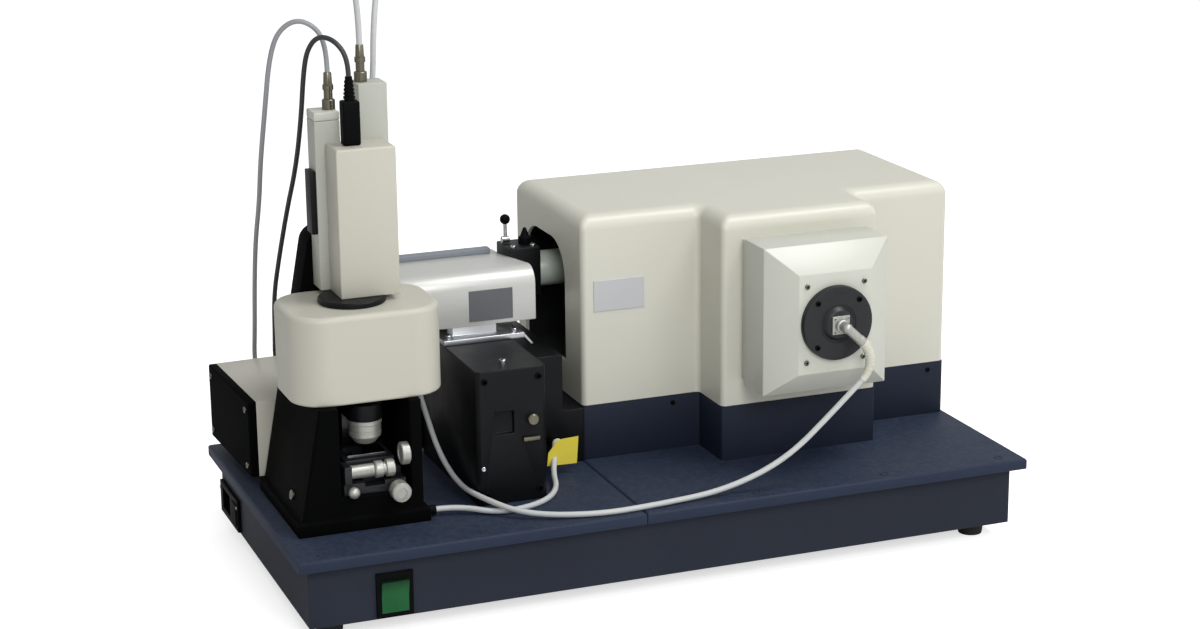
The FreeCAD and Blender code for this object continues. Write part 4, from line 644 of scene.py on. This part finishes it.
def port_pieces():
    softened("port_housing", 1.6, port_cream, 3)
    bm = bmesh.new()
    add_turned(bm, [(3.2, 0), (3.2, 8), (9.5, 8), (10.1, 7.6), (12, 5), (12.3, 4.6), (13.3, 4.6),
                    (13.7, 5), (25.2, 5), (26.3, 4.6), (26.75, 3.8), (26.75, 0), (3.2, 0)],
               (PORT_X, PORT_FACE_Y, PORT_Z), (0, -1, 0), 72)
    finish_piece("port_flange_turned", bm, stage_black, STILL, ("port_flange",))
    bm = bmesh.new()
    for dx in (-16, 16):
        for dz in (-16, 16):
            add_screw(bm, (PORT_X + dx, PORT_FACE_Y - 5, PORT_Z + dz), (0, -1, 0), 3.8, 1.2)
    finish_piece("flange_screws", bm, black_plastic, STILL)
    bm = bmesh.new()
    add_block(bm, (PORT_X - 6.6, HUB_FACE_Y - 1.4, PORT_Z - 6.6),
              (PORT_X + 6.6, HUB_FACE_Y, PORT_Z + 6.6), 0.5)
    for dx in (-4.9, 4.9):
        for dz in (-4.9, 4.9):
            add_screw(bm, (PORT_X + dx, HUB_FACE_Y - 1.4, PORT_Z + dz), (0, -1, 0), 2.2, 0.7)
    finish_piece("connector_plate", bm, satin, STILL)
    bm = bmesh.new()
    for dx in (-22, 22):
        for dz in (-27.5, 27.5):
            add_screw(bm, (PORT_X + dx, PORT_FACE_Y, PORT_Z + dz), (0, -1, 0), 3.8, 1.2)
    finish_piece("port_screws", bm, dark_nickel, STILL)
    bm = bmesh.new()
    nut = add_turned(bm, [(0, -0.5), (4.3, -0.5), (4.7, 0.2), (4.7, 4.6), (4.2, 5.2), (3.7, 5.4),
                          (3.7, 10.2), (3.3, 11.2)], (PORT_X, HUB_FACE_Y, PORT_Z), (0, -1, 0), 36)
    add_grips(bm, nut, (PORT_X, HUB_FACE_Y, PORT_Z), (0, -1, 0), 0.4, 4.4, 4.7, -0.25)
    bmesh.ops.create_uvsphere(bm, u_segments=24, v_segments=16, radius=3.7,
                              matrix=Matrix.Translation(ELBOW_START))
    add_turned(bm, [(3.3, 0), (3.3, 12), (3.55, 12.3), (3.55, 15.6), (0, 16.2)], ELBOW_START,
               ELBOW_DIRECTION, 28)
    finish_piece("port_elbow_turned", bm, satin, STILL, ("port_connector",))
    dress(boot_cream, "port_boot")
    bm = bmesh.new()
    turn = math.pi - (BOOT_START - BOOT_CORNER).angle(BOOT_END - BOOT_CORNER)
    one = (BOOT_START - BOOT_CORNER).normalized()
    two = (BOOT_END - BOOT_CORNER).normalized()
    radius = 20 / math.tan(turn / 2)
    centre = BOOT_CORNER + (one + two).normalized() * (radius / math.cos(turn / 2))
    axis = one.cross(two).normalized()
    for step in range(1, 9):
        share = step / 10
        spin = Matrix.Rotation(-turn * share, 3, axis)
        point = centre + spin @ (BOOT_START - centre)
        size = 3.6 - 1.0 * share
        add_turned(bm, [(size - 0.5, -0.7), (size + 0.35, -0.5), (size + 0.35, 0.5),
                        (size - 0.5, 0.7)], point, spin @ -one, 24)
    finish_piece("port_boot_ribs", bm, boot_cream, STILL)


# Microscope stand, stage, focus drive, head and tower.
def stand_pieces():
    softened("stand_casting", 0.8, cast_black, 3)
    dress(head_cream, "head_housing")
    bm = bmesh.new()
    add_screw(bm, (-252.6, -53.6, 82.3), (-1, 0, 0.186), 7.0, 1.6)
    for x, y in ((-251, -86.3), (-172, -86.3)):
        add_screw(bm, (x, y + 0.2, 67.5), (0, -1, 0), 4.0, 1.2)
    finish_piece("stand_screws", bm, dark_nickel, STILL)
    softened("stage_base", 0.4, stage_black)
    softened("stage_y_carriage", 0.35, stage_black)
    softened("stage_x_carriage", 0.35, stage_black)
    bm = bmesh.new()
    add_block(bm, (-216, -62, 106.65), (-189, -44, 107.65), 0.15, 1)
    finish_piece("sample_glass", bm, glass_mirror, "x_carriage")
    softened("focus_rail", 0.3, stage_black)
    softened("nosepiece", 0.5, anodised)
    bm = bmesh.new()
    add_turned(bm, [(0, 0.6), (2.4, 0.6), (3.0, 0), (6.6, 0), (7.2, 0.5), (10.4, 4.4), (11, 5.2),
                    (11, 8.0), (10.6, 8.3), (10.6, 9.4), (11, 9.7), (11, 17), (0, 17)],
               (OBJECTIVE_X, OBJECTIVE_Y, 116), UP, 48)
    finish_piece("objective_turned", bm, satin, "focus_carriage", ("objective",))
    bm = bmesh.new()
    ring = add_turned(bm, [(11.0, -3.4), (11.45, -3.0), (11.45, -0.6), (11.0, -0.2)],
                      (OBJECTIVE_X, OBJECTIVE_Y, 133), UP, 60)
    add_grips(bm, ring, (OBJECTIVE_X, OBJECTIVE_Y, 133), UP, -3.2, -0.4, 11.45, -0.15)
    finish_piece("objective_grip", bm, satin, "focus_carriage")


def micrometer_pieces():
    bm = bmesh.new()
    add_turned(bm, [(0, 0), (4.5, 0), (4.5, 15.4), (4.2, 16), (0, 16)], (-219, -79, 101.8),
               (1, 0, 0), 32)
    for mark in range(12):
        add_block(bm, (-218 + mark * 1.2, -83.6, 101.7), (-217.8 + mark * 1.2, -83.42, 103.4), 0)
    finish_piece("x_sleeve_turned", bm, satin, "y_carriage", ("x_micrometer_sleeve",))
    bm = bmesh.new()
    start = (-202.7, -79, 101.8)
    verts = add_turned(bm, [(0, 0), (4.6, 0), (5.6, 0.9), (5.75, 1.3), (5.75, 5.6), (5.3, 5.9),
                            (4.3, 6.3), (4.3, 7.8), (5.3, 8.2), (5.75, 8.5), (5.75, 13.3),
                            (5.2, 14), (0, 14)], start, (1, 0, 0), 44)
    add_grips(bm, verts, start, (1, 0, 0), 8.6, 13.2, 5.75, -0.22)
    finish_piece("x_thimble_turned", bm, satin, "x_thimble", ("x_micrometer_thimble",))
    bm = bmesh.new()
    start = (-188.5, -75.5, 89)
    verts = add_turned(bm, [(0, 0), (2, 0), (2, 11.7), (5.2, 11.7), (6.3, 12.3), (6.5, 12.8),
                            (6.5, 20.6), (6.0, 21.4), (3.4, 21.7), (3.2, 21.2), (0, 21.2)],
                       start, (0, -1, 0), 48)
    add_grips(bm, verts, start, (0, -1, 0), 13.0, 20.4, 6.5, -0.22)
    finish_piece("y_thimble_turned", bm, satin, "y_thimble", ("y_micrometer_thimble",))
    bm = bmesh.new()
    start = (-184.3, -80, 111)
    verts = add_turned(bm, [(0, 0.6), (4.8, 0.6), (5.2, 0), (6.9, 0), (7.5, 0.6), (7.5, 5.2),
                            (6.9, 5.9), (0, 6)], start, (1, 0, 0), 48)
    add_grips(bm, verts, start, (1, 0, 0), 0.8, 5.0, 7.5, -0.25)
    finish_piece("focus_knob_turned", bm, satin, "focus_wheel", ("focus_knob",))
    bm = bmesh.new()
    add_turned(bm, [(0, 0), (1.5, 0), (1.5, 3.0), (2.2, 3.3), (3.6, 4.8), (4.0, 6.5),
                    (3.6, 8.3), (2.2, 9.8), (0, 10.5)], (-219, -81, 90), (0, -1, 0), 32)
    finish_piece("lock_screw_turned", bm, satin, "lock", ("stage_lock_screw",))


def tower_pieces():
    bm = bmesh.new()
    add_turned(bm, [(0, 0), (22.3, 0), (23, 0.6), (23, 3.2), (22.2, 4), (0, 4)],
               (-203.5, -43, 210), UP, 72)
    finish_piece("head_collar_turned", bm, anodised, STILL, ("head_collar",))
    softened("tower_block", 0.8, head_cream, 3)
    for node in ("left_module", "right_module"):
        softened(node, 0.7, module_cream, 3)
    softened("module_rail", 0.4, anodised)
    bm = bmesh.new()
    add_block(bm, (-219.6, -24, 330.1), (-202, -4.5, 336), 0.8)
    finish_piece("left_module_cap", bm, port_cream, STILL, ("left_connector",))
    for node, x, foot in (("left_connector", LEFT_MODULE_X, 336),
                          ("right_connector", RIGHT_MODULE_X, 353)):
        bm = bmesh.new()
        nut = add_turned(bm, [(0, 0), (3.9, 0), (4.2, 0.4), (4.2, 6.4), (3.8, 7), (3.0, 7.2),
                              (3.0, 13), (3.7, 13.3), (3.7, 16.6), (3.0, 17), (2.7, 24.4),
                              (2.4, 25), (0, 25)], (x, MODULE_Y, foot), UP, 32)
        add_grips(bm, nut, (x, MODULE_Y, foot), UP, 0.6, 6.2, 4.2, -0.2)
        finish_piece(node + "_turned", bm, dark_nickel, STILL, (node,))
    bm = bmesh.new()
    add_block(bm, (-204.7, -43, 315.5), (-192.7, -33, 345.5), 1.6, 3)
    for step in range(5):
        z = 347.5 + step * 2.6
        size = 4.0 - step * 0.24
        add_turned(bm, [(size - 0.9, -1.0), (size, -0.8), (size, 0.6), (size - 0.9, 0.8)],
                   (TOWER_PLUG_X, TOWER_PLUG_Y, z), UP, 24)
    add_turned(bm, [(3.4, 0), (2.4, 16), (0, 16)], (TOWER_PLUG_X, TOWER_PLUG_Y, 345.4), UP, 24)
    finish_piece("tower_plug_moulded", bm, black_plastic, STILL,
                 ("tower_plug",))


# Laser side: block and bridge, plate, head, shutter and lever.
def laser_pieces():
    softened("laser_block", 0.8, anodised)
    softened("bridge_block", 0.8, anodised)
    softened("laser_mount_plate", 0.5, silver)
    softened("laser_head", 0.7, silver_head, 3)
    softened("laser_head_rail", 0.5, grey_paint)
    softened("shutter_block", 0.7, anodised)
    softened("beam_tube", 0.4, tube_grey)
    bm = bmesh.new()
    add_turned(bm, [(0, 0), (4, 0), (4, 3.2), (3.4, 4), (0, 4)], (-88, LASER_FRONT_Y, 122),
               (0, -1, 0), 32)
    add_block(bm, (-95, LASER_FRONT_Y - 2.4, 106.5), (-83, LASER_FRONT_Y, 109.5), 0.5)
    finish_piece("laser_front_metal", bm, dark_nickel, STILL,
                 ("laser_front_fittings",))
    bm = bmesh.new()
    for x, z in ((-122, 71), (-83, 71), (-122, 152), (-83, 152)):
        add_screw(bm, (x, LASER_FRONT_Y, z), (0, -1, 0), 4.6, 1.4)
    finish_piece("laser_block_screws", bm, black_plastic, STILL)
    bm = bmesh.new()
    add_block(bm, (-131, 54.9, 65), (-77, 58, 156), 0.6)
    for x in (-126, -82):
        for z in (70, 151):
            add_screw(bm, (x, 58, z), (0, 1, 0), 4.6, 1.4)
    finish_piece("laser_block_back_plate", bm, anodised, STILL)
    bm = bmesh.new()
    add_screw(bm, (-124, LASER_FRONT_Y, 90), (0, -1, 0), 3.4, 1.4)
    for x, y in ((-123, 0), (-123, 50), (-74, 0), (-74, 50)):
        add_screw(bm, (x, y, 163), UP, 4.6, 2.4)
    add_screw(bm, (-104.4, -63, 159), UP, 5, 4.0)
    finish_piece("laser_screws", bm, steel, STILL)
    bm = bmesh.new()
    add_block(bm, (-2, 1, -11), (0, 61, 0), 0.6)
    bmesh.ops.rotate(bm, verts=bm.verts, cent=(0, 0, 0),
                     matrix=Matrix.Rotation(math.radians(-40), 3, "Y"))
    bmesh.ops.translate(bm, verts=bm.verts, vec=(-68.2, -6, 162.6))
    finish_piece("mount_plate_lip", bm, silver, STILL)
    bm = bmesh.new()
    for x, y in ((-52.5, 60), (-37.5, 60), (-37.5, 80)):
        add_screw(bm, (x, y, 207.9), UP, 4.2, 1.8)
    finish_piece("shutter_screws", bm, steel, STILL)
    bm = bmesh.new()
    add_turned(bm, [(0, 0), (2.2, 0), (2.5, 0.3), (2.5, 5.7), (2.2, 6), (0, 6)],
               (-56, 76, 210.8), (1, 0, 0), 28)
    add_turned(bm, [(1.3, 0), (1.3, 15)], (-53, 76, 211), UP, 20)
    finish_piece("lever_metal", bm, steel, "lever", ("shutter_lever",))
    bm = bmesh.new()
    bmesh.ops.create_uvsphere(bm, u_segments=32, v_segments=20, radius=3.8,
                              matrix=Matrix.Translation((-53, 76, 226)))
    finish_piece("lever_ball", bm, black_plastic, "lever")
    bm = bmesh.new()
    start = (-40, 70, 208.1)
    verts = add_turned(bm, [(0, 0), (4.2, 0), (4.5, 0.4), (4.5, 4.6), (4.1, 5), (3.4, 5.6),
                            (1.1, 11.6), (0, 12)], start, UP, 36)
    add_grips(bm, verts, start, UP, 0.5, 4.5, 4.5, -0.25)
    finish_piece("adjuster_turned", bm, black_plastic, "adjuster",
                 ("shutter_adjuster",))
    dress(black_plastic, "fibre_sockets")
    bm = bmesh.new()
    add_block(bm, (-107, -0.45, 173), (-74.5, 0.1, 195.5), 0.2, 1)
    finish_piece("laser_bare_plate", bm, dark_plate, STILL)
    dress(boot_cream, "laser_boot")


def box_pieces():
    softened("control_box_case", 0.8, head_cream, 2)
    softened("control_box_end_panel", 0.5, cap_black)
    dress(black_plastic, "cable_glands")
    bm = bmesh.new()
    for y in (7, 97):
        for z in (15, 56):
            add_screw(bm, on_box(-5.9, y, z), BOX_TURN @ -ALONG, 4.6, 1.2)
    finish_piece("box_cap_screws", bm, dark_nickel, STILL)
    bm = bmesh.new()
    for x in (12, 95):
        for y in (12, 92):
            add_turned(bm, [(0, 0), (4.3, 0), (4.9, 0.6), (4.7, 7.9), (0, 7.9)],
                       on_box(x, y, 0), UP, 28)
    finish_piece("box_feet", bm, rubber, STILL)
    bm = bmesh.new()
    lean = BOX_TURN @ GLAND_LEAN
    for x in (MODULE_GLAND_X, TOWER_GLAND_X):
        for step in range(4):
            size = 4.0 - 0.35 * step
            add_turned(bm, [(size - 0.9, -0.6), (size, -0.4), (size, 0.4), (size - 0.9, 0.6)],
                       on_box(x, GLAND_Y, GLAND_Z) + lean * (1.6 + 1.9 * step), lean, 24)
    finish_piece("gland_ribs", bm, black_plastic, STILL)


def tag_piece():
    """A bare slip of yellow paper by the laser's fibre boot, drawn as a flat sheet."""
    bm = bmesh.new()
    corners = [(-62.5, 70.5), (-39.5, 69.5), (-38, 89.5), (-54, 89), (-61.5, 80)]
    front = [bm.verts.new((x, -33.2 + 0.06 * (x + 62), z)) for x, z in corners]
    back = [bm.verts.new((x, -32.9 + 0.06 * (x + 62), z)) for x, z in corners]
    bm.faces.new(front)
    bm.faces.new(list(reversed(back)))
    for one in range(len(corners)):
        two = (one + 1) % len(corners)
        bm.faces.new((front[one], back[one], back[two], front[two]))
    finish_piece("bare_tag", bm, blank_yellow, STILL)


base_pieces()
rocker_pieces()
inlet_pieces()
spectrograph_pieces()
port_pieces()
stand_pieces()
micrometer_pieces()
tower_pieces()
laser_pieces()
box_pieces()
tag_piece()
dress(circuit_green, "base_electronics")


# Floor, light and background.
def add_stage():
    bm = bmesh.new()
    bmesh.ops.create_grid(bm, x_segments=1, y_segments=1, size=4)
    mesh = bpy.data.meshes.new("floor")
    bm.to_mesh(mesh)
    bm.free()
    floor = bpy.data.objects.new("floor", mesh)
    bpy.context.scene.collection.objects.link(floor)
    material, tree, shader = new_material("pale floor")
    grain = noise_node(tree, 40, 3.0)
    where = tree.nodes.new("ShaderNodeTexCoord")
    tree.links.new(where.outputs["Object"], grain.inputs["Vector"])
    ramp = tree.nodes.new("ShaderNodeValToRGB")
    ramp.color_ramp.elements[0].color = (0.86, 0.86, 0.86, 1)
    ramp.color_ramp.elements[1].color = (0.88, 0.88, 0.88, 1)
    tree.links.new(grain.outputs["Fac"], ramp.inputs["Fac"])
    tree.links.new(ramp.outputs["Color"], shader.inputs["Base Color"])
    shader.inputs["Roughness"].default_value = 0.8
    seen = tree.nodes.new("ShaderNodeLightPath")
    glow = tree.nodes.new("ShaderNodeMath")
    glow.operation = "MULTIPLY"
    glow.inputs[1].default_value = 0.64
    tree.links.new(seen.outputs["Is Camera Ray"], glow.inputs[0])
    tree.links.new(glow.outputs[0], shader.inputs["Emission Strength"])
    shader.inputs["Emission Color"].default_value = (1, 1, 1, 1)
    mesh.materials.append(material)


def add_world():
    world = bpy.data.worlds.new("studio")
    bpy.context.scene.world = world
    world.use_nodes = True
    tree = world.node_tree
    background = tree.nodes["Background"]
    background.inputs["Color"].default_value = (1, 1, 1, 1)
    seen = tree.nodes.new("ShaderNodeLightPath")
    brighter = tree.nodes.new("ShaderNodeMath")
    brighter.operation = "MAXIMUM"
    seen_rays = tree.nodes.new("ShaderNodeMath")
    seen_rays.operation = "MAXIMUM"
    shine = tree.nodes.new("ShaderNodeMath")
    shine.operation = "MULTIPLY"
    shine.inputs[1].default_value = 0.5
    tree.links.new(seen.outputs["Is Glossy Ray"], shine.inputs[0])
    tree.links.new(seen.outputs["Is Camera Ray"], brighter.inputs[0])
    tree.links.new(shine.outputs[0], brighter.inputs[1])
    tree.links.new(brighter.outputs[0], seen_rays.inputs[0])
    tree.links.new(seen.outputs["Is Transmission Ray"], seen_rays.inputs[1])
    strength = tree.nodes.new("ShaderNodeMapRange")
    strength.inputs["To Min"].default_value = 0.36
    strength.inputs["To Max"].default_value = 1.0
    tree.links.new(seen_rays.outputs[0], strength.inputs["Value"])
    tree.links.new(strength.outputs["Result"], background.inputs["Strength"])


def add_lamp(name, place, size, power):
    lamp = bpy.data.lights.new(name, "AREA")
    lamp.shape = "DISK"
    lamp.size = size
    lamp.energy = power
    item = bpy.data.objects.new(name, lamp)
    bpy.context.scene.collection.objects.link(item)
    item.location = place
    toward = Vector((0, 0, 0.15)) - Vector(place)
    item.rotation_euler = toward.to_track_quat("-Z", "Y").to_euler()


add_stage()
add_world()
add_lamp("key lamp", (-0.35, -2.15, 1.5), 1.2, 29)
add_lamp("top lamp", (0.82, -0.66, 2.1), 0.9, 23)
add_lamp("fill lamp", (1.9, -1.4, 0.9), 1.2, 5)
bpy.context.scene.view_settings.view_transform = "Standard"
